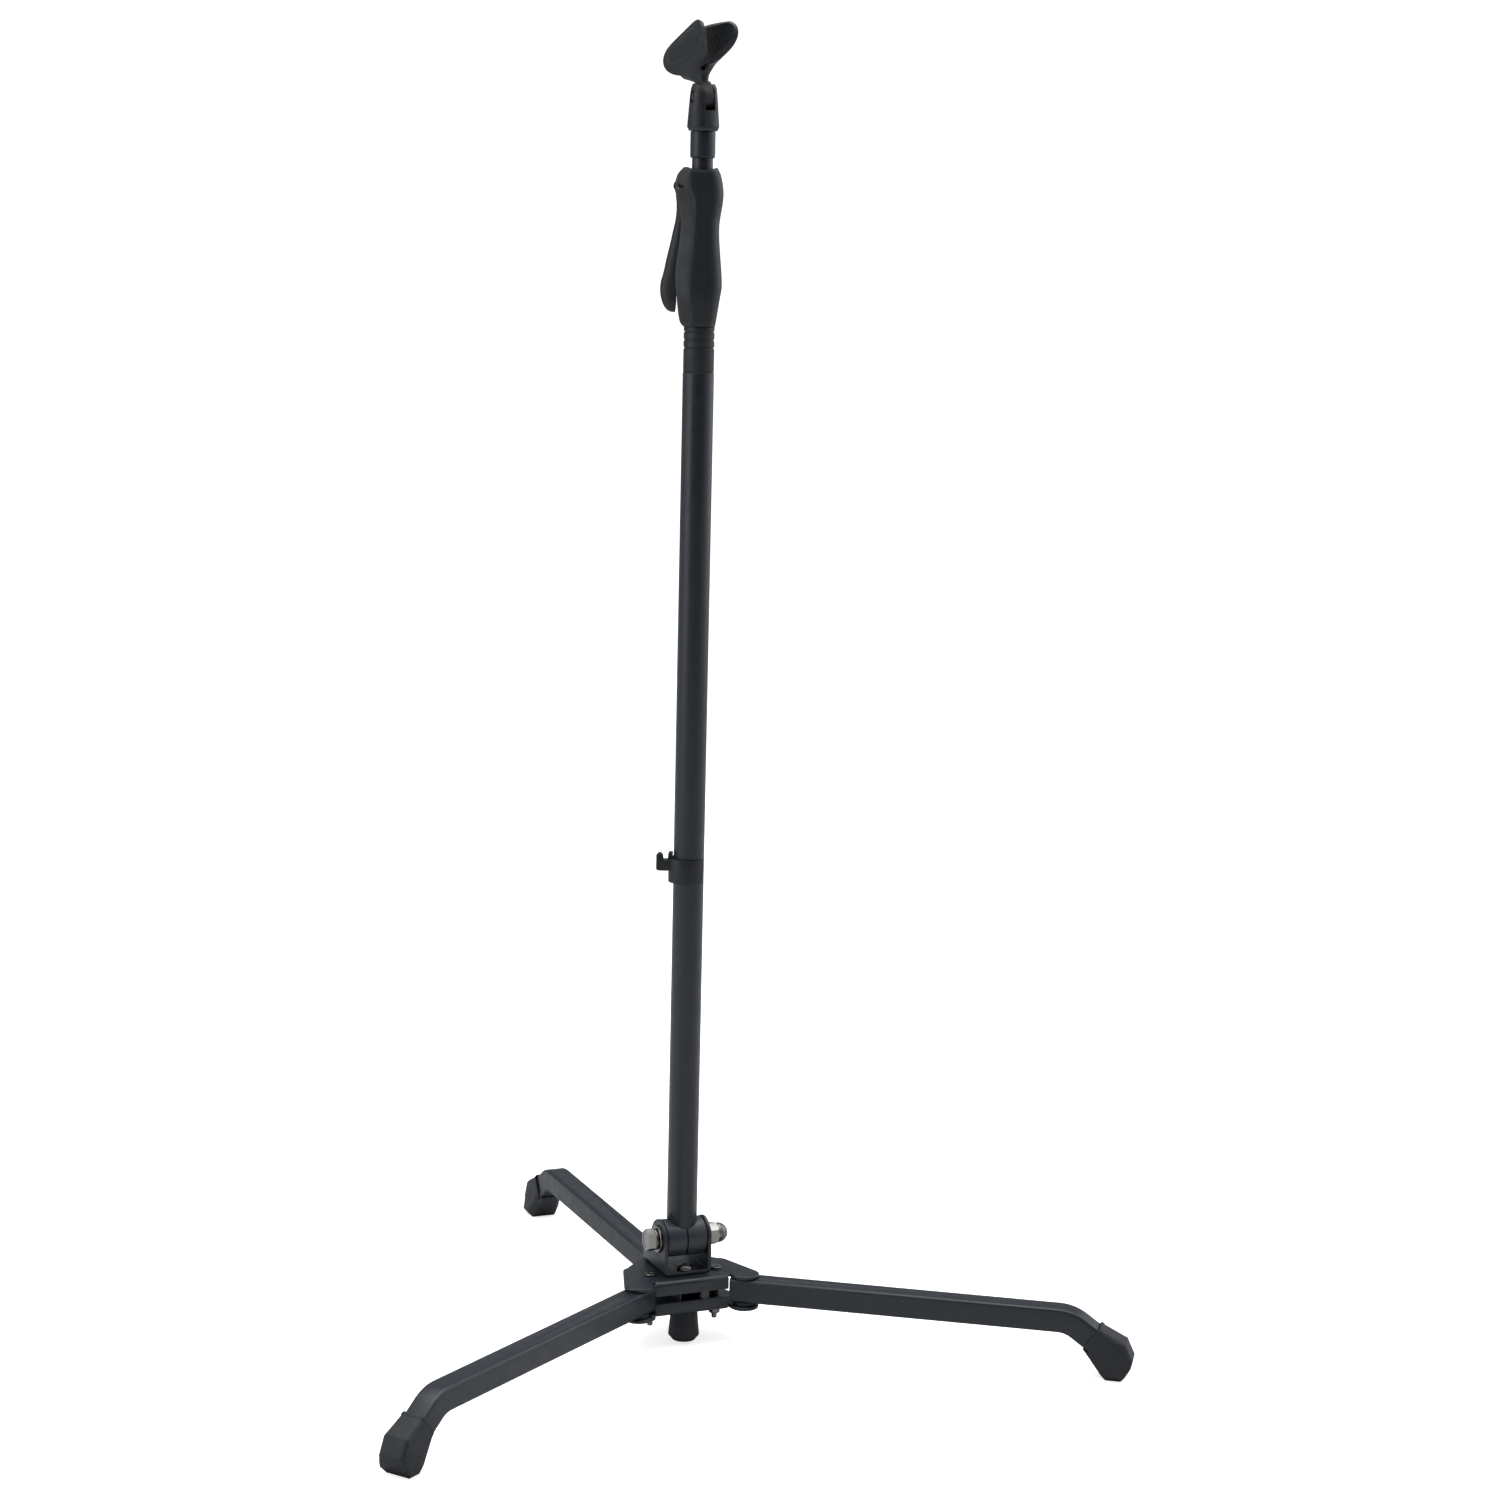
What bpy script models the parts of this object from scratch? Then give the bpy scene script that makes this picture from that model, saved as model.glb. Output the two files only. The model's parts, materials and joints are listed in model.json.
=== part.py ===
"""One-hand microphone stand: folding three-leg base, tilting two-section pole with a lever clutch,
microphone clip and cable clip.

Lengths are in millimetres and are turned into metres where a mesh is made. The origin is on the floor
under the pole, +Z is up, +Y runs along the back leg and X runs along the tilt bolt.
"""
import bmesh
import bpy
from math import asin, cos, hypot, pi, radians, sin, sqrt, tan
from mathutils import Euler, Matrix, Vector

MM = 0.001
GAP = 0.3                      # clearance between neighbouring pieces

# ---------------------------------------------------------------- driving dimensions

# legs: square tube, flat run between the hub plates, then a bend down to the foot
LEG_SIDE = 20.0
LEG_WALL = 1.5
LEG_CORNER = 2.5
LEG_TOP = 56.0
LEG_AXIS = LEG_TOP - LEG_SIDE / 2
LEG_BEND = radians(35)
LEG_BEND_RADIUS = 30.0
LEG_INNER_END = 10.0           # how far a side leg reaches behind its pivot
SIDE_LEG_RUN = 262.5           # pivot to the start of the bend
SIDE_LEG_TAIL = 33.0           # straight tube after the bend
SIDE_PIVOT = (47.0, -25.4)
SIDE_LEG_HEADING = radians(-35)
BACK_LEG_FRONT = -23.7         # its cut end, just behind the flanges

# rubber leg feet, measured along the bent part of the leg
FOOT_START = 13.2              # from the end of the bend to the mouth
FOOT_LENGTH = 39.8
FOOT_SHOULDER = 24.5
FOOT_HEEL = 29.6
FOOT_TOE = 37.0
FOOT_SOCKET = 26.0

# hub plates
PLATE = 3.0
UPPER_PLATE = LEG_TOP + GAP
LEG_WASHER = 3.0
LOWER_PLATE = LEG_TOP - LEG_SIDE - LEG_WASHER - GAP - PLATE
LOBE_RADIUS = 12.3
FLANGE_Y = -27.3
FLANGE_HALF = 32.3
UPPER_FLANGE_BOTTOM = 47.6
LOWER_FLANGE_TOP = 40.9
BACK_LOBE_Y = 43.0
PIN_RADIUS = 4.0
RIVET_RADIUS = 3.0
BACK_LEG_RUN = BACK_LOBE_Y + SIDE_LEG_RUN
RIVET = (28.8, -5.0)
HUB_BOLT_Y = -9.0

# tilt bracket, bolt and pivot block
TILT_Z = 88.0
BRACKET_SHEET = 2.8
BRACKET_HALF = 20.7
BRACKET_BACK = 35.0
EAR_RADIUS = 16.2
BLOCK_RADIUS = 15.8
TILT_BOLT_RADIUS = 5.0

# pole
OUTER_RADIUS = 12.5
OUTER_BORE = 11.3
OUTER_TOP = 802.7
COLLAR_RADIUS = 12.3
COLLAR_BOTTOM = 803.0
COLLAR_TOP = 839.0
INNER_RADIUS = 8.3
INNER_BORE = 7.1
INNER_BOTTOM = 150.0
INNER_TOP = 985.0

# clutch grip: the lever faces GRIP_HEADING. The outlines are smooth curves through (height, reach)
# points, reach being the distance from the pole's axis towards the lever (front) or away from it (back).
GRIP_HEADING = radians(158)
GRIP_BOTTOM = COLLAR_TOP + GAP
GRIP_TOP = 963.3
GRIP_HALF_WIDTH = 15.5
GRIP_FOOT_HALF_WIDTH = 12.6
GRIP_FRONT = [(839.3, 13.0), (843.0, 15.7), (861.0, 18.3), (880.0, 19.8), (920.0, 16.1), (947.0, 21.1),
              (957.0, 19.6), (963.3, 14.6)]
GRIP_BACK = [(839.3, 12.6), (861.0, 15.9), (872.0, 17.3), (916.0, 14.3), (942.0, 17.2), (957.0, 15.0),
             (963.3, 12.0)]
GRIP_SCREWS = [(-13.0, 934.0), (-13.2, 872.0)]
LEVER_PIVOT = (17.5, 948.6)
LEVER_HALF_WIDTH = 6.5
PLATE_FULCRUM = (-11.8, 944.0)
CLUTCH_PLATE = 2.2
CLUTCH_CANT = radians(1.5)
SPRING_BOTTOM = 950.3
SPRING_TOP = 960.2

# cable clip
CABLE_CLIP_HEADING = radians(158)
CABLE_CLIP_BOTTOM = 389.7
CABLE_CLIP_TOP = 409.2

# microphone clip: its axis points forward (-Y, turned a little to +X) and up
CLIP_BASE_BOTTOM = 991.5
CLIP_PIVOT_Z = 1017.5
CLIP_EAR_RADIUS = 10.4
CLIP_HEADING = radians(-81)
CLIP_RISE = radians(25)
CRADLE_HALF_WIDTH = 16.5
CRADLE_HALF_HEIGHT = 18.4
CRADLE_WALL = 2.8
CRADLE_CENTRE = (10.5, 38.0)   # along and above the clip's own axis, from the pivot
CRADLE_HALF_LENGTH = 32.0
CRADLE_LIP = radians(70)       # how far up the sides reach, about the cradle's axis
TONGUE_HALF = 4.2


# ---------------------------------------------------------------- materials

def material(name, colour, roughness, metallic):
    made = bpy.data.materials.new(name)
    made.use_nodes = True
    shader = made.node_tree.nodes["Principled BSDF"]
    shader.inputs["Base Color"].default_value = (*colour, 1.0)
    shader.inputs["Roughness"].default_value = roughness
    shader.inputs["Metallic"].default_value = metallic
    return made


def black_paint(name):
    return material(name, (0.045, 0.047, 0.052), 0.38, 0.3)


def black_plastic(name):
    return material(name, (0.022, 0.024, 0.028), 0.5, 0.0)


def black_rubber(name):
    return material(name, (0.020, 0.020, 0.022), 0.85, 0.0)


def bright_zinc(name):
    return material(name, (0.62, 0.61, 0.58), 0.3, 1.0)


def spring_steel(name):
    return material(name, (0.45, 0.45, 0.46), 0.35, 1.0)


def brass(name):
    return material(name, (0.65, 0.48, 0.24), 0.35, 1.0)


# ---------------------------------------------------------------- mesh helpers

def make_object(name, bm, finish, location=(0, 0, 0), rotation=(0, 0, 0), parent=None):
    """Turns a bmesh in millimetres into an object, with closed outward faces and its own material."""
    bmesh.ops.remove_doubles(bm, verts=bm.verts, dist=1e-5)
    bmesh.ops.recalc_face_normals(bm, faces=bm.faces)
    bmesh.ops.scale(bm, vec=(MM, MM, MM), verts=bm.verts)
    mesh = bpy.data.meshes.new(name)
    bm.to_mesh(mesh)
    bm.free()
    mesh.shade_smooth()
    mesh.set_sharp_from_angle(angle=radians(35))
    made = bpy.data.objects.new(name, mesh)
    bpy.context.scene.collection.objects.link(made)
    made.location = Vector(location) * MM
    made.rotation_euler = rotation
    if finish:
        mesh.materials.append(finish(name + "_finish"))
    if parent:
        made.parent = parent
        made.matrix_parent_inverse = parent.matrix_world.inverted()
    return made


def axis_empty(name, location, parent=None):
    """An empty on a joint's axis, which carries the pieces that move with the joint."""
    empty = bpy.data.objects.new(name, None)
    bpy.context.scene.collection.objects.link(empty)
    empty.location = Vector(location) * MM
    if parent:
        empty.parent = parent
        empty.matrix_parent_inverse = parent.matrix_world.inverted()
    bpy.context.view_layer.update()
    return empty


def arc(centre, radius, start, end, steps, height=None):
    """Points on an arc, angles in degrees, both ends included. With a height it is part of an ellipse."""
    angles = [radians(start + (end - start) * i / steps) for i in range(steps + 1)]
    height = height or radius
    return [(centre[0] + radius * cos(a), centre[1] + height * sin(a)) for a in angles]


def turned(profile, segments):
    """Revolves a closed (radius, height) profile about Z. A radius of 0 is a point on the axis."""
    bm = bmesh.new()
    rings = []
    for radius, height in profile:
        if radius == 0:
            rings.append([bm.verts.new((0, 0, height))])
            continue
        turn = [2 * pi * i / segments for i in range(segments)]
        rings.append([bm.verts.new((radius * cos(a), radius * sin(a), height)) for a in turn])
    for ring, following in zip(rings, rings[1:] + rings[:1]):
        join_rings(bm, ring, following)
    return bm


def join_rings(bm, ring, following):
    count = max(len(ring), len(following))
    if count == 1:
        return
    for i in range(count):
        j = (i + 1) % count
        if len(ring) == 1:
            bm.faces.new((ring[0], following[j], following[i]))
        elif len(following) == 1:
            bm.faces.new((ring[i], ring[j], following[0]))
        else:
            bm.faces.new((ring[i], ring[j], following[j], following[i]))


def loft(rings):
    """A closed solid through rings of equally many points, with flat caps."""
    bm = bmesh.new()
    loops = [[bm.verts.new(point) for point in ring] for ring in rings]
    for loop, following in zip(loops, loops[1:]):
        join_rings(bm, loop, following)
    bm.faces.new(loops[0])
    bm.faces.new(loops[-1])
    return bm


def prism(outline, low, high):
    """An outline in x, y between two heights."""
    return loft([[(x, y, z) for x, y in outline] for z in (low, high)])


def side_prism(outline, low, high):
    """An outline in x, z between two values of y."""
    return loft([[(x, y, z) for x, z in outline] for y in (low, high)])


def box(low, high):
    (x0, y0, z0), (x1, y1, z1) = low, high
    return prism([(x0, y0), (x1, y0), (x1, y1), (x0, y1)], z0, z1)


def cylinder(radius, low, high, segments=24):
    return turned([(0, low), (radius, low), (radius, high), (0, high)], segments)


def turn_mesh(bm, axis, angle, centre=(0, 0, 0)):
    bmesh.ops.rotate(bm, cent=centre, matrix=Matrix.Rotation(angle, 3, axis), verts=bm.verts)
    return bm


def shift(bm, offset):
    bmesh.ops.translate(bm, vec=offset, verts=bm.verts)
    return bm


def along_x(bm):
    """Lays a turned shape's Z axis along +X."""
    return turn_mesh(bm, "Y", pi / 2)


def boolean(target, bm, operation="DIFFERENCE", location=(0, 0, 0), rotation=(0, 0, 0)):
    """Cuts, joins or trims the target with a bmesh in the target's own frame, in millimetres."""
    tool = make_object(target.name + "_tool", bm, None, location, rotation)
    tool.parent = target
    tool.hide_render = True
    tool.display_type = "WIRE"
    modifier = target.modifiers.new(operation.lower(), "BOOLEAN")
    modifier.operation = operation
    modifier.solver = "EXACT"
    modifier.object = tool
    return target


def hexagon(across_corners, low, high):
    return cylinder(across_corners / 2, low, high, 6)


# ---------------------------------------------------------------- legs and feet

def rounded_square(half, corner, steps=2):
    inner = half - corner
    points = []
    for k, (sx, sy) in enumerate([(1, 1), (-1, 1), (-1, -1), (1, -1)]):
        points += arc((sx * inner, sy * inner), corner, 90 * k, 90 * (k + 1), steps)
    return points


def leg_stations(start, run, tail, steps=7):
    """Centre and slope along a leg in its own frame: x outward, z up, bend down after the run."""
    stations = [(start, LEG_AXIS, 0.0)]
    for i in range(steps + 1):
        slope = LEG_BEND * i / steps
        x = run + LEG_BEND_RADIUS * sin(slope)
        z = LEG_AXIS - LEG_BEND_RADIUS * (1 - cos(slope))
        stations.append((x, z, slope))
    x, z, slope = stations[-1]
    stations.append((x + tail * cos(slope), z - tail * sin(slope), slope))
    return stations


def leg_tube(start, run, tail):
    """A bent square tube, open at both ends."""
    bm = bmesh.new()
    outer_outline = rounded_square(LEG_SIDE / 2, LEG_CORNER)
    inner_outline = rounded_square(LEG_SIDE / 2 - LEG_WALL, LEG_CORNER - LEG_WALL)
    skins = []
    for outline in (outer_outline, inner_outline):
        loops = []
        for x, z, slope in leg_stations(start, run, tail):
            loops.append([bm.verts.new((x + v * sin(slope), u, z + v * cos(slope))) for u, v in outline])
        skins.append(loops)
    outer, inner = skins
    for loops in skins:
        for loop, following in zip(loops, loops[1:]):
            join_rings(bm, loop, following)
    join_rings(bm, outer[0], inner[0])
    join_rings(bm, outer[-1], inner[-1])
    return bm


def make_leg(name, start, run, holes, location, heading, parent=None):
    """A leg with upright pin holes at the given distances along it."""
    leg = make_object(name, leg_tube(start, run, SIDE_LEG_TAIL), black_paint, location,
                      (0, 0, heading), parent)
    for x in holes:
        boolean(leg, shift(cylinder(PIN_RADIUS + GAP, LEG_AXIS - 12, LEG_AXIS + 12, 16), (x, 0, 0)))
    return leg


def foot_section(along, floor_drop, top, top_half, bottom_half):
    """One cross-section of a rubber foot in the bent leg's frame: its sole follows the floor."""
    bottom = max((along * sin(LEG_BEND) - floor_drop) / cos(LEG_BEND), -11.5 - 0.3 * along)
    edge = min(2.2, (top - bottom) / 4)
    return [
        (along, top_half - edge, top), (along, -top_half + edge, top),
        (along, -top_half, top - edge), (along, -bottom_half, bottom + edge),
        (along, -bottom_half + edge, bottom), (along, bottom_half - edge, bottom),
        (along, bottom_half, bottom + edge), (along, top_half, top - edge),
    ]


def make_foot(name, run, location, heading, parent=None):
    """A flared rubber boot: socket for the tube, flat sole, cut-off toe with an upper facet."""
    x, z, slope = leg_stations(0, run, SIDE_LEG_TAIL)[-2]
    mouth_x = x + FOOT_START * cos(slope)
    mouth_z = z - FOOT_START * sin(slope)
    sections = [
        foot_section(0, mouth_z, 11.6, 11.3, 11.8),
        foot_section(FOOT_SHOULDER, mouth_z, 14.7, 12.0, 14.6),
        foot_section(FOOT_HEEL, mouth_z, 11.6, 12.0, 14.8),
        foot_section(FOOT_TOE, mouth_z, 7.5, 11.8, 14.8),
        foot_section(FOOT_LENGTH, mouth_z, 1.5, 12.4, 14.8),
    ]
    bm = turn_mesh(loft(sections), "Y", slope)
    shift(bm, (mouth_x, 0, mouth_z))
    foot = make_object(name, bm, black_rubber, location, (0, 0, heading), parent)
    half = LEG_SIDE / 2 + GAP
    socket = box((-5, -half, -half), (FOOT_SOCKET, half, half))
    turn_mesh(socket, "Y", slope)
    boolean(foot, shift(socket, (mouth_x, 0, mouth_z)))
    return foot


# ---------------------------------------------------------------- hub

def plate_half_outline():
    """The right half of a hub plate from the flange to the tip of the back lobe."""
    lobe_left = SIDE_PIVOT[0] - LOBE_RADIUS
    outline = [(FLANGE_HALF, FLANGE_Y), (FLANGE_HALF, FLANGE_Y + 4.5), (lobe_left, FLANGE_Y + 4.5)]
    outline += arc(SIDE_PIVOT, LOBE_RADIUS, 180, 370, 14)
    outline += arc((38.0, 10.0), 9.0, 20, 70, 4)
    outline += arc((0, BACK_LOBE_Y), LOBE_RADIUS, 30, 90, 5)
    return outline


def plate_outline():
    right = plate_half_outline()
    left = [(-x, y) for x, y in reversed(right[:-1])]
    return right + left


def make_hub_plate(name, low, flange_low, flange_high):
    """A three-lobed plate with a flange folded along its front edge."""
    plate = make_object(name, prism(plate_outline(), low, low + PLATE), black_paint)
    half = FLANGE_HALF - 0.01
    boolean(plate, box((-half, FLANGE_Y - 0.01, flange_low), (half, FLANGE_Y + PLATE, flange_high)), "UNION")
    for x, y, radius in hub_holes():
        boolean(plate, shift(cylinder(radius, low - 5, low + PLATE + 5, 20), (x, y, 0)))
    return plate


def hub_holes():
    """Centres and radii of the holes that both plates share."""
    px, py = SIDE_PIVOT
    rx, ry = RIVET
    pins = [(px, py), (-px, py), (0, BACK_LOBE_Y), (0, HUB_BOLT_Y)]
    rivets = [(rx, ry), (-rx, ry)]
    return [(x, y, PIN_RADIUS + GAP) for x, y in pins] + [(x, y, RIVET_RADIUS + GAP) for x, y in rivets]


def leg_washer():
    """Thick washer between the lower plate and a leg."""
    low = LOWER_PLATE + PLATE + GAP
    high = low + LEG_WASHER - GAP
    inner = PIN_RADIUS + GAP
    return turned([(inner, low), (9.0, low), (9.0, high), (inner, high)], 24)


def make_hub():
    upper_top = UPPER_PLATE + PLATE
    make_hub_plate("upper_hub_plate", UPPER_PLATE, UPPER_FLANGE_BOTTOM, upper_top)
    make_hub_plate("lower_hub_plate", LOWER_PLATE, LOWER_PLATE, LOWER_FLANGE_TOP)
    spacer_low = LOWER_PLATE + PLATE + GAP
    spacer_high = UPPER_PLATE - GAP
    head = upper_top + GAP
    tail = LOWER_PLATE - GAP
    shank = RIVET_RADIUS
    bore = RIVET_RADIUS + GAP
    for side, x in (("left", -RIVET[0]), ("right", RIVET[0])):
        spacer = turned([(bore, spacer_low), (4.6, spacer_low), (4.6, spacer_high), (bore, spacer_high)], 20)
        make_object("plate_spacer_" + side, spacer, bright_zinc, (x, RIVET[1], 0))
        rivet = turned([(0, tail - 13.4), (1.6, tail - 13.4), (2.6, tail - 6), (5.0, tail - 1), (5.0, tail),
                        (shank, tail), (shank, head), (5.3, head), (5.3, head + 0.8), (4.4, head + 1.5),
                        (0, head + 1.5)], 20)
        make_object("plate_rivet_" + side, rivet, bright_zinc, (x, RIVET[1], 0))
    px, py = SIDE_PIVOT
    for side, x, y in (("left", -px, py), ("right", px, py), ("back", 0, BACK_LOBE_Y)):
        pin = cylinder(PIN_RADIUS, LOWER_PLATE, upper_top, 20)
        make_object(side + "_leg_pin", pin, black_paint, (x, y, 0))
        make_object(side + "_leg_washer", leg_washer(), black_plastic, (x, y, 0))
    make_object("hub_washer", leg_washer(), black_plastic, (0, HUB_BOLT_Y, 0))


def make_centre_foot():
    """Tapered rubber stop under the hub, on the hub bolt, with the nut sunk into it."""
    top = LOWER_PLATE - GAP
    bore = PIN_RADIUS + GAP
    profile = [(bore, top), (11.0, top), (12.9, 6.5), (9.6, 2.5), (7.6, 2.5), (7.6, 12.0), (bore, 12.0)]
    make_object("centre_foot", turned(profile, 32), black_rubber, (0, HUB_BOLT_Y, 0))
    floor_top = UPPER_PLATE + PLATE + GAP + BRACKET_SHEET + GAP
    head = [(0, 4.5), (PIN_RADIUS, 4.5), (PIN_RADIUS, floor_top), (6.6, floor_top), (6.6, floor_top + 2.0),
            (5.2, floor_top + 4.0), (2.9, floor_top + 4.0), (2.9, floor_top + 1.4), (0, floor_top + 1.4)]
    make_object("hub_bolt", turned(head, 24), bright_zinc, (0, HUB_BOLT_Y, 0))
    nut = make_object("hub_nut", hexagon(14.2, 5.2, 11.7), bright_zinc, (0, HUB_BOLT_Y, 0))
    boolean(nut, cylinder(PIN_RADIUS + GAP, 0, 20, 20))


# ---------------------------------------------------------------- tilt joint

def ear_outline(base):
    """Side view (y, z) of a bracket ear: straight front, round top, sloping back."""
    corner = (BRACKET_BACK, base + 6)
    reach = hypot(corner[0], corner[1] - TILT_Z)
    down = asin((corner[1] - TILT_Z) / reach)
    tangent = down + asin(sqrt(reach ** 2 - EAR_RADIUS ** 2) / reach)
    top = arc((0, TILT_Z), EAR_RADIUS, tangent * 180 / pi, 180, 12)
    return [(BRACKET_BACK, base), corner] + top + [(-EAR_RADIUS, base)]


def make_bracket():
    """Folded U bracket: a floor and two ears of one sheet."""
    base = UPPER_PLATE + PLATE + GAP
    rings = [[(x, y, z) for y, z in ear_outline(base)] for x in (-BRACKET_HALF, BRACKET_HALF)]
    bracket = make_object("tilt_bracket", loft(rings), black_paint)
    inside = BRACKET_HALF - BRACKET_SHEET
    boolean(bracket, box((-inside, -60, base + BRACKET_SHEET), (inside, 60, base + 90)))
    bolt_hole = along_x(cylinder(TILT_BOLT_RADIUS + GAP, -30, 30, 24))
    boolean(bracket, shift(bolt_hole, (0, 0, TILT_Z)))
    boolean(bracket, shift(cylinder(PIN_RADIUS + GAP, base - 5, base + 8, 20), (0, HUB_BOLT_Y, 0)))
    return bracket


def make_tilt_bolt():
    """Hex bolt, flat and spring washers at -X, dome nut at +X."""
    at = (0, 0, TILT_Z)
    ear = BRACKET_HALF + GAP
    flat = 1.8
    sprung = 2.0
    for side, low in (("left", -ear - flat), ("right", ear)):
        ring = turned([(5.3, low), (11.5, low), (11.5, low + flat), (5.3, low + flat)], 32)
        make_object("tilt_washer_" + side, along_x(ring), bright_zinc, at)
    start = -ear - flat - GAP
    make_object("tilt_spring_washer", along_x(turned([(5.3, start - sprung), (8.8, start - sprung),
                                                      (8.8, start), (5.3, start)], 32)), bright_zinc, at)
    head = start - sprung - GAP
    bolt = make_object("tilt_bolt", along_x(cylinder(TILT_BOLT_RADIUS, head - 3, 33, 24)), bright_zinc, at)
    boolean(bolt, along_x(hexagon(19.6, head - 6.4, head)), "UNION")
    seat = ear + flat + GAP
    nut = make_object("tilt_dome_nut", along_x(hexagon(19.6, seat, seat + 7.5)), bright_zinc, at)
    dome = [(0, seat + 6), (8.4, seat + 6), (8.4, seat + 9.2)]
    dome += [(8.4 * cos(a), seat + 9.2 + 8.6 * sin(a)) for a in [radians(18 * k) for k in range(1, 5)]]
    boolean(nut, along_x(turned(dome + [(0, seat + 17.8)], 24)), "UNION")
    boolean(nut, along_x(cylinder(TILT_BOLT_RADIUS + GAP, ear - 5, seat + 11.5, 24)))


def make_pivot_block(parent):
    """Barrel between the ears with a spigot up into the pole, slit at the front."""
    half = BRACKET_HALF - BRACKET_SHEET - GAP
    barrel = [(BLOCK_RADIUS - 1.2, -half), (BLOCK_RADIUS, -half + 1.2), (BLOCK_RADIUS, half - 1.2),
              (BLOCK_RADIUS - 1.2, half), (0, half), (0, -half)]
    block = make_object("pivot_block", along_x(turned(barrel, 40)), black_paint, (0, 0, TILT_Z), parent=parent)
    boolean(block, cylinder(OUTER_BORE - GAP, 8, 46, 32), "UNION")
    boolean(block, along_x(cylinder(TILT_BOLT_RADIUS + GAP, -30, 30, 24)))
    boolean(block, box((-0.6, -40, -40), (0.6, -8, 14)))
    return block


def make_outer_tube(parent):
    low = TILT_Z - 4
    tube = make_object("outer_tube", turned([(OUTER_BORE, low), (OUTER_RADIUS, low), (OUTER_RADIUS, OUTER_TOP),
                                             (OUTER_BORE, OUTER_TOP)], 40), black_paint, parent=parent)
    boolean(tube, along_x(cylinder(BLOCK_RADIUS + GAP, -30, 30, 40)), location=(0, 0, TILT_Z))
    return tube


# ---------------------------------------------------------------- pole

def make_collar(parent):
    """Ribbed collar in the mouth of the outer tube, with a neck that the grip closes round."""
    bore = INNER_RADIUS + 0.2
    profile = [(bore, COLLAR_BOTTOM - 28), (OUTER_BORE - 0.2, COLLAR_BOTTOM - 28),
               (OUTER_BORE - 0.2, COLLAR_BOTTOM), (COLLAR_RADIUS, COLLAR_BOTTOM)]
    for groove in (822.2, 828.6, 835.0):
        profile += [(COLLAR_RADIUS, groove - 0.9), (COLLAR_RADIUS - 0.6, groove - 0.4),
                    (COLLAR_RADIUS - 0.6, groove + 0.4), (COLLAR_RADIUS, groove + 0.9)]
    profile += [(COLLAR_RADIUS, COLLAR_TOP), (10.4, COLLAR_TOP), (10.4, COLLAR_TOP + 13),
                (bore, COLLAR_TOP + 13)]
    make_object("tube_collar", turned(profile, 32), black_plastic, parent=parent)


def make_inner_tube(parent):
    tube = [(INNER_BORE, INNER_BOTTOM), (INNER_RADIUS, INNER_BOTTOM), (INNER_RADIUS, INNER_TOP),
            (INNER_BORE, INNER_TOP)]
    make_object("inner_tube", turned(tube, 32), black_paint, parent=parent)
    seat = INNER_BOTTOM - GAP
    bush = [(0, seat - 10), (OUTER_BORE - 0.2, seat - 10), (OUTER_BORE - 0.2, seat + 12),
            (INNER_RADIUS + GAP, seat + 12), (INNER_RADIUS + GAP, seat), (0, seat)]
    make_object("guide_bush", turned(bush, 32), black_plastic, parent=parent)
    low = 970.5
    high = CLIP_BASE_BOTTOM - GAP
    ferrule = [(INNER_RADIUS + 0.2, low), (9.4, low), (9.9, low + 1.2), (9.9, high - 0.5), (9.4, high),
               (7.7, high), (7.7, 999.5), (7.0, 1000.2), (0, 1000.2), (0, INNER_TOP + GAP),
               (INNER_RADIUS + 0.2, INNER_TOP + GAP)]
    make_object("tube_ferrule", turned(ferrule, 32), black_paint, parent=parent)


# ---------------------------------------------------------------- clutch grip

def curve_slope(points, i):
    """Slope at a point of a smooth curve, from its neighbours."""
    z0, r0 = points[max(i - 1, 0)]
    z1, r1 = points[min(i + 1, len(points) - 1)]
    return (r1 - r0) / (z1 - z0)


def reach_at(points, height):
    """Reads the smooth curve through (height, reach) points."""
    i = max(k for k in range(len(points) - 1) if points[k][0] <= height)
    (z0, r0), (z1, r1) = points[i], points[i + 1]
    span = z1 - z0
    t = (height - z0) / span
    rise = r1 - r0
    start = curve_slope(points, i) * span
    end = curve_slope(points, i + 1) * span
    return r0 + t * (start + t * (3 * rise - 2 * start - end + t * (start + end - 2 * rise)))


def grip_half_section(height, side):
    """One level of a grip half: a full rounded D whose flat lies on the joint of the halves."""
    front = reach_at(GRIP_FRONT, height)
    back = reach_at(GRIP_BACK, height)
    into = min(1.0, (height - GRIP_BOTTOM) / 24)
    rounding = max(0.0, 1 - (GRIP_TOP - height) / 6)
    width = GRIP_FOOT_HALF_WIDTH + (GRIP_HALF_WIDTH - GRIP_FOOT_HALF_WIDTH) * into - 1.6 * rounding
    steps = 8
    points = []
    for k in range(steps + 1):
        angle = pi * k / steps
        c = cos(angle)
        s = sin(angle)
        reach = front if c > 0 else back
        u = reach * abs(c) ** 0.62 * (1 if c > 0 else -1)
        w = GAP / 2 + (width - GAP / 2) * s ** 0.62
        points.append((u, side * w, height))
    return points


def grip_levels():
    """Heights of the sections: even steps, closer together at the rounded top."""
    even = 11
    top_round = GRIP_TOP - 9.0
    levels = [GRIP_BOTTOM + (top_round - GRIP_BOTTOM) * i / even for i in range(even + 1)]
    return levels + [GRIP_TOP - 6.0, GRIP_TOP - 3.0, GRIP_TOP]


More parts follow.
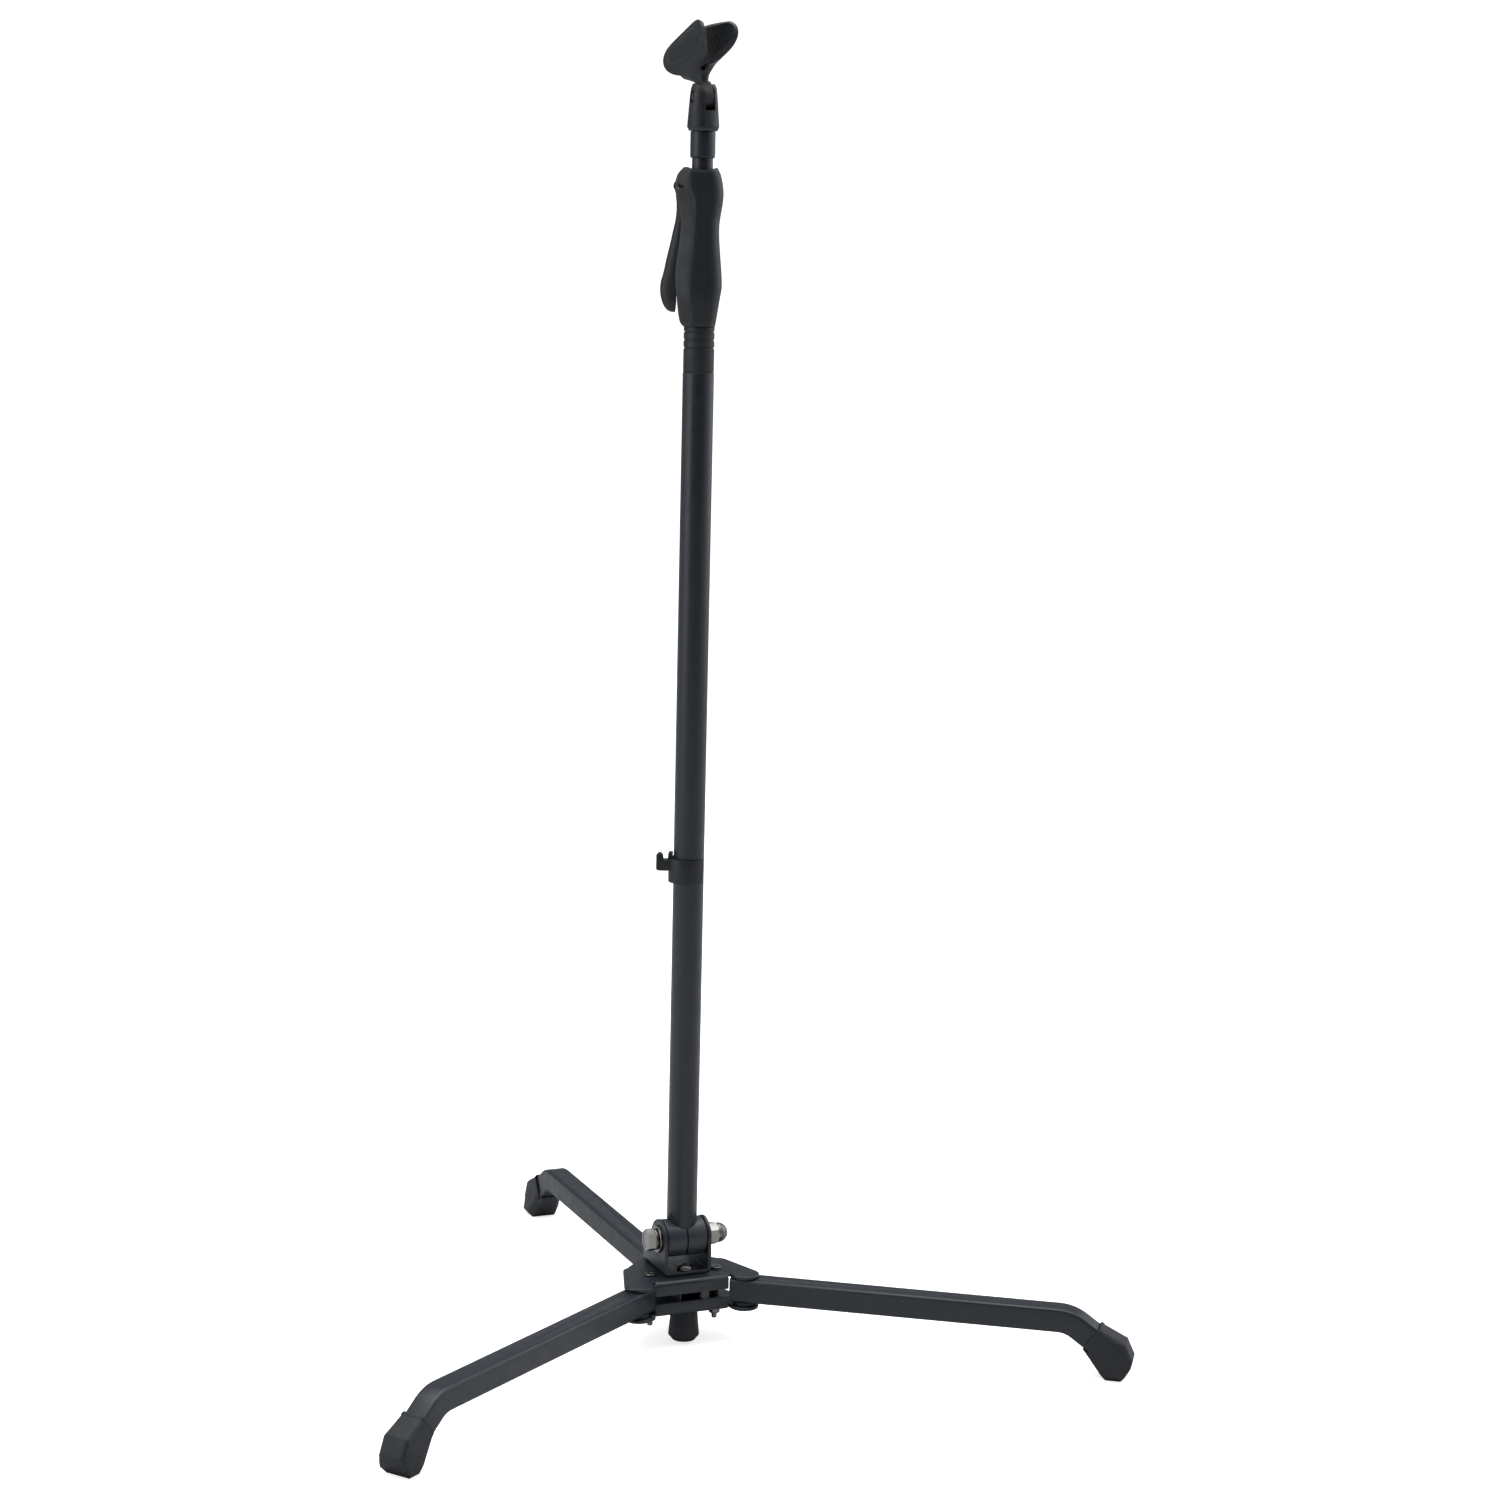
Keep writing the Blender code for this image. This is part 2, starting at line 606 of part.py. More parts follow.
def make_grip_half(name, side, parent):
    rings = [grip_half_section(z, side) for z in grip_levels()]
    turn = (0, 0, GRIP_HEADING)
    shell = make_object(name, loft(rings), black_plastic, (0, 0, 0), turn, parent)
    boolean(shell, cylinder(INNER_RADIUS + 0.5, GRIP_BOTTOM - 5, GRIP_TOP + 5, 24))
    boolean(shell, cylinder(10.8, GRIP_BOTTOM - 5, GRIP_BOTTOM + 14.5, 24))
    boolean(shell, cylinder(12.9, 940.4, 960.6, 24))
    boolean(shell, box((-10.4, -11.5, 860), (6.0, 11.5, 936)))
    slot = LEVER_HALF_WIDTH + GAP + 0.2
    pocket = [(7.6, 848.0), (40.0, 848.0), (40.0, 952.0), (21.0, 954.6), (11.6, 954.6), (9.0, 940.0)]
    boolean(shell, side_prism(pocket, -slot, slot))
    pin = turn_mesh(cylinder(2.0 + 0.05, -13.0, 13.0, 16), "X", pi / 2)
    boolean(shell, pin, location=(LEVER_PIVOT[0], 0, LEVER_PIVOT[1]))
    for u, z in GRIP_SCREWS:
        hole = turned([(0, -10.5), (1.8, -10.5), (1.8, 11.6), (3.2, 11.6), (3.2, 20), (0, 20)], 16)
        turn_mesh(hole, "X", pi / 2)
        boolean(shell, hole, location=(u, 0, z))
    return shell


def make_grip(parent):
    make_grip_half("grip_shell_front", 1, parent)
    make_grip_half("grip_shell_rear", -1, parent)
    turn = Matrix.Rotation(GRIP_HEADING, 3, "Z")
    for level, (u, z) in zip(("upper", "lower"), GRIP_SCREWS):
        screw = turned([(0, -9.5), (1.5, -9.5), (1.5, 11.9), (2.9, 11.9), (2.9, 13.4), (2.1, 14.0),
                        (0, 14.0)], 16)
        turn_mesh(screw, "X", pi / 2)
        make_object("grip_screw_" + level, screw, spring_steel, turn @ Vector((u, 0, z)),
                    (0, 0, GRIP_HEADING), parent)
    pin = turn_mesh(cylinder(1.95, -12.6, 12.6, 16), "X", pi / 2)
    at = turn @ Vector((LEVER_PIVOT[0], 0, LEVER_PIVOT[1]))
    make_object("lever_pin", pin, spring_steel, at, (0, 0, GRIP_HEADING), parent)


def make_lever(parent):
    """Clutch lever: pivot boss, nose under the clutch plates, long finger piece with a swollen end."""
    pu, pz = LEVER_PIVOT
    nose_top = PLATE_FULCRUM[1] - (pu - 6.3 - PLATE_FULCRUM[0]) * tan(CLUTCH_CANT) - GAP
    outer = [(21.0, 944.0), (19.8, 934.6), (20.2, 924.0), (22.2, 914.0), (27.2, 891.0)]
    outer += arc((22.0, 868.5), 9.7, 40, -90, 9, 18.4)
    inner = [(19.4, 850.4), (18.7, 856.0), (18.6, 866.0), (15.0, 905.0), (13.8, 936.5), (10.6, 938.6),
             (10.6, nose_top), (12.4, nose_top)]
    boss = arc(LEVER_PIVOT, 5.0, 205, -40, 9)
    lever = make_object("clutch_lever", side_prism(outer + inner + boss, -LEVER_HALF_WIDTH,
                                                   LEVER_HALF_WIDTH), black_plastic,
                        (0, 0, 0), (0, 0, GRIP_HEADING), parent)
    hole = turn_mesh(cylinder(2.05, -13, 13, 16), "X", pi / 2)
    boolean(lever, hole, location=(pu, 0, pz))
    return lever


def make_clutch_plates(parent):
    """Two steel rings round the inner tube, canted about their back edge so that they bite."""
    turn = Matrix.Rotation(GRIP_HEADING, 3, "Z")
    at = turn @ Vector((PLATE_FULCRUM[0], 0, PLATE_FULCRUM[1]))
    radius = -PLATE_FULCRUM[0]
    for level, low in (("lower", 0.0), ("upper", CLUTCH_PLATE + GAP / 2)):
        ring = turned([(INNER_RADIUS + 0.25, low), (radius, low), (radius, low + CLUTCH_PLATE),
                       (INNER_RADIUS + 0.25, low + CLUTCH_PLATE)], 32)
        shift(ring, (radius, 0, 0))
        turn_mesh(ring, "Y", CLUTCH_CANT)
        make_object("clutch_plate_" + level, ring, spring_steel, at, (0, 0, GRIP_HEADING), parent)


def make_clutch_spring(parent):
    """Open coil between the clutch plates and the roof of the grip."""
    wire = 0.65
    coil = 10.6
    turns = 2.5
    per_turn = 14
    sides = 6
    low = SPRING_BOTTOM + wire
    rise = SPRING_TOP - SPRING_BOTTOM - 2 * wire
    rings = []
    count = int(turns * per_turn)
    for i in range(count + 1):
        angle = 2 * pi * i / per_turn
        centre = Vector((coil * cos(angle), coil * sin(angle), low + rise * i / count))
        outward = Vector((cos(angle), sin(angle), 0))
        ring = []
        for k in range(sides):
            around = 2 * pi * k / sides
            ring.append(centre + outward * wire * cos(around) + Vector((0, 0, wire * sin(around))))
        rings.append(ring)
    make_object("clutch_spring", loft(rings), spring_steel, parent=parent)


# ---------------------------------------------------------------- cable clip

def make_cable_clip(parent):
    """C-shaped clip on the outer tube, with a hook for the cable opposite its mouth."""
    bore = OUTER_RADIUS + 0.15
    outer = []
    inner = []
    steps = 20
    for k in range(steps + 1):
        angle = radians(30 + 300 * k / steps)
        thick = 1.0 + 3.0 * (0.5 - 0.5 * cos(angle)) ** 1.5
        outer.append(((bore + thick) * cos(angle), (bore + thick) * sin(angle)))
        inner.append((bore * cos(angle), bore * sin(angle)))
    ring = prism(outer + inner[::-1], CABLE_CLIP_BOTTOM, CABLE_CLIP_TOP)
    clip = make_object("cable_clip", ring, black_plastic, (0, 0, 0), (0, 0, CABLE_CLIP_HEADING + pi), parent)
    floor = 399.0
    seat = 407.6
    hook = [(13.4, floor - 3), (15.5, floor), (24.4, floor)] + arc((24.4, floor + 2.2), 2.2, -60, 0, 2)
    hook += [(26.6, 414.3)] + arc((23.2, 411.8), 2.5, 90, 180, 3)
    hook += [(20.7, seat), (16.6, seat), (16.4, 412.5)] + arc((14.6, 413.9), 1.8, 30, 90, 2) + [(13.4, 415.7)]
    hook = [(-u, z) for u, z in hook]
    boolean(clip, side_prism(hook, -5, 5), "UNION")
    return clip


# ---------------------------------------------------------------- microphone clip

def make_clip_base(parent):
    """Tapered swivel base: threaded insert below, slot and two round ears above."""
    turn = (0, 0, CLIP_HEADING + pi / 2)
    low = CLIP_BASE_BOTTOM
    ear_top = CLIP_PIVOT_Z + CLIP_EAR_RADIUS
    profile = [(0, low), (11.2, low), (12.7, low + 3.0), (11.4, 1012.0), (10.8, 1019.0), (10.2, 1024.0),
               (8.0, ear_top + 2), (0, ear_top + 2)]
    base = make_object("clip_base", turned(profile, 32), black_plastic, (0, 0, 0), turn, parent)
    side = arc((0, CLIP_PIVOT_Z), CLIP_EAR_RADIUS, 0, 180, 12)
    side = [(14, low - 5), (14, 1006.0), (CLIP_EAR_RADIUS, 1012.0)] + side + [(-CLIP_EAR_RADIUS, 1012.0),
                                                                             (-14, 1006.0), (-14, low - 5)]
    keep = loft([[(x, y, z) for y, z in side] for x in (-20, 20)])
    boolean(base, keep, "INTERSECT")
    boolean(base, box((-TONGUE_HALF - GAP, -20, 1005.0), (TONGUE_HALF + GAP, 20, 1040.0)))
    boolean(base, cylinder(9.8, low - 5, 1001.0, 24))
    bore = turned([(0, -20), (5.0, -20), (5.0, -8.0), (2.6, -8.0), (2.6, 8.0), (5.0, 8.0), (5.0, 20),
                   (0, 20)], 20)
    boolean(base, along_x(bore), location=(0, 0, CLIP_PIVOT_Z))
    insert = turned([(8.0, low + 0.2), (9.5, low + 0.2), (9.5, 1000.7), (8.0, 1000.7)], 24)
    make_object("thread_insert", insert, brass, parent=parent)
    at = (0, 0, CLIP_PIVOT_Z)
    screw = turned([(0, -9.6), (3.6, -9.6), (4.6, -8.9), (4.6, -8.3), (2.2, -8.3), (2.2, 9.8), (0, 9.8)], 20)
    make_object("clip_pivot_screw", along_x(screw), spring_steel, at, turn, parent)
    nut = make_object("clip_pivot_nut", along_x(hexagon(9.2, 8.3, 9.7)), spring_steel, at, turn, parent)
    boolean(nut, along_x(cylinder(2.2 + GAP, 0, 20, 20)))


def cradle_half_length(height):
    """Half the cradle's length at a height above its axis: an oval that keeps a root at the bottom."""
    part = max(0.0, 1 - (height / (CRADLE_HALF_HEIGHT + 0.3)) ** 2)
    return max(CRADLE_HALF_LENGTH * sqrt(part), 7.0)


def cradle():
    """Open C-shaped trough for the microphone; x runs along it, z up, the pivot at the origin."""
    bm = bmesh.new()
    around = 24
    along = 6
    sheets = []
    for wall in (0.0, CRADLE_WALL):
        rows = []
        for i in range(around + 1):
            angle = CRADLE_LIP - (pi + 2 * CRADLE_LIP) * i / around
            half = cradle_half_length(CRADLE_HALF_HEIGHT * sin(angle))
            z = CRADLE_CENTRE[1] + (CRADLE_HALF_HEIGHT - wall) * sin(angle)
            y = (CRADLE_HALF_WIDTH - wall) * cos(angle)
            row = []
            for k in range(along + 1):
                x = CRADLE_CENTRE[0] + half * (2 * k / along - 1)
                row.append(bm.verts.new((x, y, z)))
            rows.append(row)
        sheets.append(rows)
    outer, inner = sheets
    for rows in sheets:
        for row, following in zip(rows, rows[1:]):
            for k in range(along):
                bm.faces.new((row[k], row[k + 1], following[k + 1], following[k]))
    for k in (0, along):
        for i in range(around):
            bm.faces.new((outer[i][k], outer[i + 1][k], inner[i + 1][k], inner[i][k]))
    for i in (0, around):
        for k in range(along):
            bm.faces.new((outer[i][k], outer[i][k + 1], inner[i][k + 1], inner[i][k]))
    return bm


def make_mic_clip(parent):
    """Cradle, neck and tongue in one moulding, in the frame of the microphone's axis."""
    rotation = Euler((0, -CLIP_RISE, CLIP_HEADING), "XYZ")
    at = (0, 0, CLIP_PIVOT_Z)
    clip = make_object("mic_clip", cradle(), black_plastic, at, rotation, parent)
    neck = arc((0, 0), 8.0, 160, 380, 12)
    neck += [(7.4, 10.0), (11.0, 15.5), (16.0, 20.4), (4.0, 20.4), (0.6, 16.0), (-2.0, 10.0)]
    boolean(clip, side_prism(neck, -TONGUE_HALF, TONGUE_HALF), "UNION")
    boolean(clip, turn_mesh(cylinder(2.6, -20, 20, 20), "X", pi / 2))
    return clip


# ---------------------------------------------------------------- assembly

def clear_scene():
    for item in list(bpy.data.objects):
        bpy.data.objects.remove(item)


def build():
    clear_scene()
    px, py = SIDE_PIVOT
    left_axis = axis_empty("left_leg_axis", (-px, py, LEG_AXIS))
    right_axis = axis_empty("right_leg_axis", (px, py, LEG_AXIS))
    for name, axis, x, heading in (("right", right_axis, px, SIDE_LEG_HEADING),
                                   ("left", left_axis, -px, pi - SIDE_LEG_HEADING)):
        make_leg(name + "_leg", -LEG_INNER_END, SIDE_LEG_RUN, [0], (x, py, 0), heading, axis)
        make_foot(name + "_foot", SIDE_LEG_RUN, (x, py, 0), heading, axis)
    make_leg("back_leg", BACK_LEG_FRONT, BACK_LEG_RUN, [HUB_BOLT_Y, BACK_LOBE_Y], (0, 0, 0), pi / 2)
    make_foot("back_foot", BACK_LEG_RUN, (0, 0, 0), pi / 2)
    make_hub()
    make_centre_foot()
    make_bracket()
    make_tilt_bolt()

    tilt_axis = axis_empty("tilt_axis", (0, 0, TILT_Z))
    make_pivot_block(tilt_axis)
    make_outer_tube(tilt_axis)
    make_collar(tilt_axis)
    make_grip(tilt_axis)
    make_clutch_spring(tilt_axis)
    make_cable_clip(axis_empty("cable_clip_axis", (0, 0, CABLE_CLIP_BOTTOM), tilt_axis))
    turn = Matrix.Rotation(GRIP_HEADING, 3, "Z")
    lever_axis = axis_empty("lever_axis", turn @ Vector((LEVER_PIVOT[0], 0, LEVER_PIVOT[1])), tilt_axis)
    make_lever(lever_axis)
    fulcrum = turn @ Vector((PLATE_FULCRUM[0], 0, PLATE_FULCRUM[1]))
    make_clutch_plates(axis_empty("clutch_axis", fulcrum, tilt_axis))

    height_axis = axis_empty("height_axis", (0, 0, INNER_BOTTOM), tilt_axis)
    make_inner_tube(height_axis)
    swivel_axis = axis_empty("swivel_axis", (0, 0, CLIP_BASE_BOTTOM), height_axis)
    make_clip_base(swivel_axis)
    make_mic_clip(axis_empty("clip_tip_axis", (0, 0, CLIP_PIVOT_Z), swivel_axis))


build()
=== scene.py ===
"""A folding microphone stand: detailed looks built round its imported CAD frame."""

import json
from math import asin, cos, hypot, pi, radians, sin, sqrt, tan

import bmesh
import bpy
from mathutils import Euler, Matrix, Vector


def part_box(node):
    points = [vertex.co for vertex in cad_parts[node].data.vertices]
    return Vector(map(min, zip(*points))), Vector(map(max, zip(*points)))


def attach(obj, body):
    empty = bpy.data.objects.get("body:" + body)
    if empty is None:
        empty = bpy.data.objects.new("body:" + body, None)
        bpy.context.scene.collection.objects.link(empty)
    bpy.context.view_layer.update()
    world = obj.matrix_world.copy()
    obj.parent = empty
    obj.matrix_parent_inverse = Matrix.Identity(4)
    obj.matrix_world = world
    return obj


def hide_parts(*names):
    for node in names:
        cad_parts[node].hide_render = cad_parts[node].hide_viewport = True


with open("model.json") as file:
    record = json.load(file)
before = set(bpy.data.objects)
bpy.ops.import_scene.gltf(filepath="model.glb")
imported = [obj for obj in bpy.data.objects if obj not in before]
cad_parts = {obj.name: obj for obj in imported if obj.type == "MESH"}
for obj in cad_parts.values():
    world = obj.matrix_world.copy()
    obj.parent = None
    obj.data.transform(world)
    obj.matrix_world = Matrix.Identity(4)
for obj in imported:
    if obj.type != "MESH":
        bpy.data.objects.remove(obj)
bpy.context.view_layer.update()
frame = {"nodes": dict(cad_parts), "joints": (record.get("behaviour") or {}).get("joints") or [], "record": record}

# Shapes are made in millimetres in the row frame, and turned into metres when a piece is finished.
MM = 0.001


def span(node):
    """Lowest and highest corner of a CAD node, in millimetres."""
    low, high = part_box(node)
    return low / MM, high / MM


def joint_point(name):
    """The point that a joint turns about, in millimetres."""
    found = next(joint for joint in frame["joints"] if joint["name"] == name)
    return Vector(found["pos_m"]) / MM


BODY_OF = {}
for body_name, members in frame["record"]["behaviour"]["bodies"].items():
    for member in members:
        BODY_OF[member] = body_name
SLOT_OF = {part["node"]: part["material_slot"] for part in frame["record"]["subparts"]}
GAP = 0.3                      # clearance between pieces

# legs and feet
BACK_LOW, BACK_HIGH = span("back_leg")
LEG_TOP = BACK_HIGH.z
LEG_SIDE = BACK_HIGH.x - BACK_LOW.x
LEG_AXIS = LEG_TOP - LEG_SIDE / 2
LEG_WALL = 1.5
LEG_CORNER = 2.6
LEG_BEND = radians(35)
LEG_BEND_RADIUS = 30.0
LEG_INNER_END = 10.6
LEG_TAIL = 33.0
FOOT_START = 13.2
FOOT_LENGTH = 39.8
FOOT_SOCKET = 26.0
BACK_LEG_RUN = 305.5
RIGHT_PIVOT = joint_point("right_leg_fold")
SIDE_LEG_HEADING = radians(-35)

# hub
UPPER_LOW, UPPER_HIGH = span("upper_hub_plate")
LOWER_LOW, LOWER_HIGH = span("lower_hub_plate")
PLATE = 3.0
LOBE_RADIUS = UPPER_HIGH.x - RIGHT_PIVOT.x
FLANGE_Y = -27.3
FLANGE_HALF = 32.3
PIN_COVER = 0.9
BACK_LOBE_Y = UPPER_HIGH.y - LOBE_RADIUS
SIDE_LEG_RUN = BACK_LEG_RUN - BACK_LOBE_Y
PIN_RADIUS = 4.0
RIVET_RADIUS = 3.0
RIVET_LOW, RIVET_HIGH = span("plate_rivet_right")
HUB_BOLT_LOW, HUB_BOLT_HIGH = span("hub_bolt")
HUB_BOLT_Y = (HUB_BOLT_LOW.y + HUB_BOLT_HIGH.y) / 2

# tilt joint
TILT_Z = joint_point("pole_tilt").z
BRACKET_LOW, BRACKET_HIGH = span("tilt_bracket")
BRACKET_SHEET = 2.8
BRACKET_HALF = BRACKET_HIGH.x
EAR_RADIUS = -BRACKET_LOW.y
BLOCK_RADIUS = -span("pivot_block")[0].y
TILT_BOLT_RADIUS = 5.0
TILT_BOLT_HEAD = 6.4
TILT_HEX = 19.6                # across the corners

# pole
OUTER_RADIUS = span("outer_tube")[1].x
TUBE_WALL = 1.2
OUTER_BORE = OUTER_RADIUS - TUBE_WALL
OUTER_TOP = span("outer_tube")[1].z
COLLAR_LOW, COLLAR_HIGH = span("tube_collar")
COLLAR_RADIUS = COLLAR_HIGH.x
GRIP_BOTTOM = span("grip_shell_front")[0].z
GRIP_TOP = span("grip_shell_front")[1].z
INNER_RADIUS = span("inner_tube")[1].x
INNER_LOW = span("inner_tube")[0].z
INNER_HIGH = span("inner_tube")[1].z

# microphone clip
CLIP_BASE_LOW = span("clip_base")[0].z
CLIP_PIVOT_Z = joint_point("clip_tip").z
CLIP_EAR_RADIUS = 10.4
CLIP_HEADING = radians(-81)
CLIP_RISE = radians(25)
TONGUE_HALF = 4.2
TONGUE_RADIUS = 9.6
CLIP_BOLT_HOLE = 2.6


# ---- materials

def set_inputs(node, values):
    for socket, value in values.items():
        node.inputs[socket].default_value = value


def noise(nodes, links, where, scale, detail=4.0):
    made = nodes.new("ShaderNodeTexNoise")
    set_inputs(made, {"Scale": scale, "Detail": detail})
    links.new(where, made.inputs["Vector"])
    return made.outputs["Fac"]


def ramp(nodes, links, factor, stops):
    """A colour ramp with grey stops."""
    made = nodes.new("ShaderNodeValToRGB")
    elements = made.color_ramp.elements
    for element, (position, grey) in zip(elements, stops):
        element.position = position
        element.color = (grey, grey, grey, 1.0)
    links.new(factor, made.inputs["Fac"])
    return made.outputs["Color"]


def mixed(nodes, links, factor, first, second):
    made = nodes.new("ShaderNodeMix")
    made.data_type = "RGBA"
    links.new(factor, made.inputs["Factor"])
    for socket, value in ((made.inputs["A"], first), (made.inputs["B"], second)):
        if isinstance(value, tuple):
            socket.default_value = (*value, 1.0)
        else:
            links.new(value, socket)
    return made.outputs["Result"]


def bumped(nodes, links, height, strength, distance, normal=None):
    made = nodes.new("ShaderNodeBump")
    set_inputs(made, {"Strength": strength, "Distance": distance})
    links.new(height, made.inputs["Height"])
    if normal:
        links.new(normal, made.inputs["Normal"])
    return made.outputs["Normal"]


# Pointiness stops for the lighter edges. They are partly edge wear and partly a painted highlight.
EDGE_WEAR_AND_HIGHLIGHT_STOPS = [(0.54, 0.0), (0.64, 0.7)]


def surface(name, dark, light, edge_wear_and_highlight, roughness, grain, grain_depth, metallic=0.0):
    """A finish with cloudy colour and roughness, a grained surface and lighter edges, which are partly edge wear
    and partly a painted highlight.
    """
    made = bpy.data.materials.new(name)
    made.use_nodes = True
    nodes = made.node_tree.nodes
    links = made.node_tree.links
    shader = nodes["Principled BSDF"]
    where = nodes.new("ShaderNodeTexCoord").outputs["Object"]
    clouds = noise(nodes, links, where, 35.0)
    colour = mixed(nodes, links, clouds, dark, light)
    # Painted highlight and wear: convex edges found by pointiness are mixed towards a lighter colour.
    pointiness = nodes.new("ShaderNodeNewGeometry").outputs["Pointiness"]
    edges = ramp(nodes, links, pointiness, EDGE_WEAR_AND_HIGHLIGHT_STOPS)
    links.new(mixed(nodes, links, edges, colour, edge_wear_and_highlight), shader.inputs["Base Color"])
    low, high = roughness
    patches = noise(nodes, links, where, 90.0, 6.0)
    links.new(ramp(nodes, links, patches, [(0.3, low), (0.7, high)]), shader.inputs["Roughness"])
    shader.inputs["Metallic"].default_value = metallic
    fine = noise(nodes, links, where, grain, 2.0)
    waves = noise(nodes, links, where, grain / 6, 3.0)
    normal = bumped(nodes, links, fine, 0.35, grain_depth * MM)
    links.new(bumped(nodes, links, waves, 0.2, grain_depth * MM, normal), shader.inputs["Normal"])
    return made


def powder_coat():
    """Satin black powder coat with a fine orange-peel surface."""
    made = surface("black_paint", (0.0090, 0.0125, 0.0185), (0.0135, 0.0180, 0.0260), (0.034, 0.040, 0.050),
                   (0.36, 0.48), 1400.0, 0.10)
    set_inputs(made.node_tree.nodes["Principled BSDF"], {"Coat Weight": 0.15, "Coat Roughness": 0.3})
    return made


def moulded_plastic():
    """Matt black moulded plastic with a spark-eroded texture."""
    return surface("black_plastic", (0.0080, 0.0095, 0.0125), (0.0125, 0.0145, 0.0180),
                   (0.030, 0.032, 0.036), (0.44, 0.56), 2200.0, 0.12)


def soft_rubber():
    """Black rubber, very matt, with a little dust in its surface."""
    return surface("black_rubber", (0.0150, 0.0160, 0.0195), (0.0240, 0.0255, 0.0300), (0.042, 0.044, 0.050),
                   (0.55, 0.72), 1600.0, 0.16)


def zinc_plate():
    return surface("bright_zinc", (0.15, 0.145, 0.135), (0.24, 0.235, 0.22), (0.40, 0.39, 0.37),
                   (0.24, 0.38), 1800.0, 0.03, metallic=1.0)


def oiled_steel():
    return surface("spring_steel", (0.07, 0.07, 0.075), (0.11, 0.11, 0.115), (0.22, 0.22, 0.23),
                   (0.32, 0.46), 1500.0, 0.04, metallic=1.0)


def turned_brass():
    return surface("brass", (0.55, 0.38, 0.17), (0.66, 0.48, 0.24), (0.75, 0.58, 0.32),
                   (0.28, 0.42), 1500.0, 0.03, metallic=1.0)


FINISHES = {
    "black_paint": powder_coat(),
    "black_plastic": moulded_plastic(),
    "black_rubber": soft_rubber(),
    "bright_zinc": zinc_plate(),
    "spring_steel": oiled_steel(),
    "brass": turned_brass(),
}


# ---- mesh helpers

def arc(centre, radius, start, end, steps, height=None):
    """Points on an arc, angles in degrees, both ends included. With a height it is part of an ellipse."""
    angles = [radians(start + (end - start) * i / steps) for i in range(steps + 1)]
    height = height or radius
    return [(centre[0] + radius * cos(a), centre[1] + height * sin(a)) for a in angles]


def join_rings(bm, ring, following):
    count = max(len(ring), len(following))
    if count == 1:
        return
    for i in range(count):
        j = (i + 1) % count
        if len(ring) == 1:
            bm.faces.new((ring[0], following[j], following[i]))
        elif len(following) == 1:
            bm.faces.new((ring[i], ring[j], following[0]))
        else:
            bm.faces.new((ring[i], ring[j], following[j], following[i]))


def strip(bm, row, following):
    """A strip of faces between two open rows of points."""
    for k in range(len(row) - 1):
        bm.faces.new((row[k], row[k + 1], following[k + 1], following[k]))


def turned(profile, segments=64):
    """Revolves a closed (radius, height) profile about Z. A radius of 0 is a point on the axis."""
    bm = bmesh.new()
    rings = []
    for radius, height in profile:
        if radius == 0:
            rings.append([bm.verts.new((0, 0, height))])
            continue
        turn = [2 * pi * i / segments for i in range(segments)]
        rings.append([bm.verts.new((radius * cos(a), radius * sin(a), height)) for a in turn])
    for ring, following in zip(rings, rings[1:] + rings[:1]):
        join_rings(bm, ring, following)
    return bm


def loft(rings):
    """A solid through rings of equally many points, with flat caps."""
    bm = bmesh.new()
    loops = [[bm.verts.new(point) for point in ring] for ring in rings]
    for loop, following in zip(loops, loops[1:]):
        join_rings(bm, loop, following)
    bm.faces.new(loops[0])
    bm.faces.new(loops[-1])
    return bm


def prism(outline, low, high):
    """An outline in x, y between two heights."""
    return loft([[(x, y, z) for x, y in outline] for z in (low, high)])


def side_prism(outline, low, high):
    """An outline in x, z between two values of y."""
    return loft([[(x, y, z) for x, z in outline] for y in (low, high)])


def cross_prism(outline, low, high):
    """An outline in y, z between two values of x."""
    return loft([[(x, y, z) for y, z in outline] for x in (low, high)])


def box(low, high):
    (x0, y0, z0), (x1, y1, z1) = low, high
    return prism([(x0, y0), (x1, y0), (x1, y1), (x0, y1)], z0, z1)


def cylinder(radius, low, high, segments=48):
    return turned([(0, low), (radius, low), (radius, high), (0, high)], segments)


def turn_mesh(bm, axis, angle):
    bmesh.ops.rotate(bm, cent=(0, 0, 0), matrix=Matrix.Rotation(angle, 3, axis), verts=bm.verts)
    return bm


def shift(bm, offset):
    bmesh.ops.translate(bm, vec=offset, verts=bm.verts)
    return bm


def along_x(bm):
    """Lays a turned shape's Z axis along +X."""
    return turn_mesh(bm, "Y", pi / 2)


def along_y(bm):
    """Lays a turned shape's Z axis along -Y."""
    return turn_mesh(bm, "X", pi / 2)


def new_object(name, data):
    made = bpy.data.objects.new(name, data)
    bpy.context.scene.collection.objects.link(made)
    return made


def solid(name, bm):
    """An object from a closed bmesh, with its faces outward."""
    bmesh.ops.remove_doubles(bm, verts=bm.verts, dist=1e-4)
    bmesh.ops.recalc_face_normals(bm, faces=bm.faces)
    mesh = bpy.data.meshes.new(name)
    bm.to_mesh(mesh)
    bm.free()
    return new_object(name, mesh)


def bake(target):
    """Applies an object's modifiers."""
    graph = bpy.context.evaluated_depsgraph_get()
    before = target.data
    target.data = bpy.data.meshes.new_from_object(target.evaluated_get(graph))
    target.modifiers.clear()
    bpy.data.meshes.remove(before)


def combine(target, bm, operation):
    tool = solid(target.name + "_tool", bm)
    modifier = target.modifiers.new("combine", "BOOLEAN")
    modifier.operation = operation
    modifier.solver = "EXACT"
    modifier.object = tool
    bake(target)
    bpy.data.objects.remove(tool)


def cut(target, bm):
    combine(target, bm, "DIFFERENCE")


def add(target, bm):
    combine(target, bm, "UNION")


def keep(target, bm):
    combine(target, bm, "INTERSECT")


def round_edges(target, width, segments=3, angle=30):
    modifier = target.modifiers.new("rounding", "BEVEL")
    modifier.width = width
    modifier.segments = segments
    modifier.limit_method = "ANGLE"
    modifier.angle_limit = radians(angle)
    bake(target)


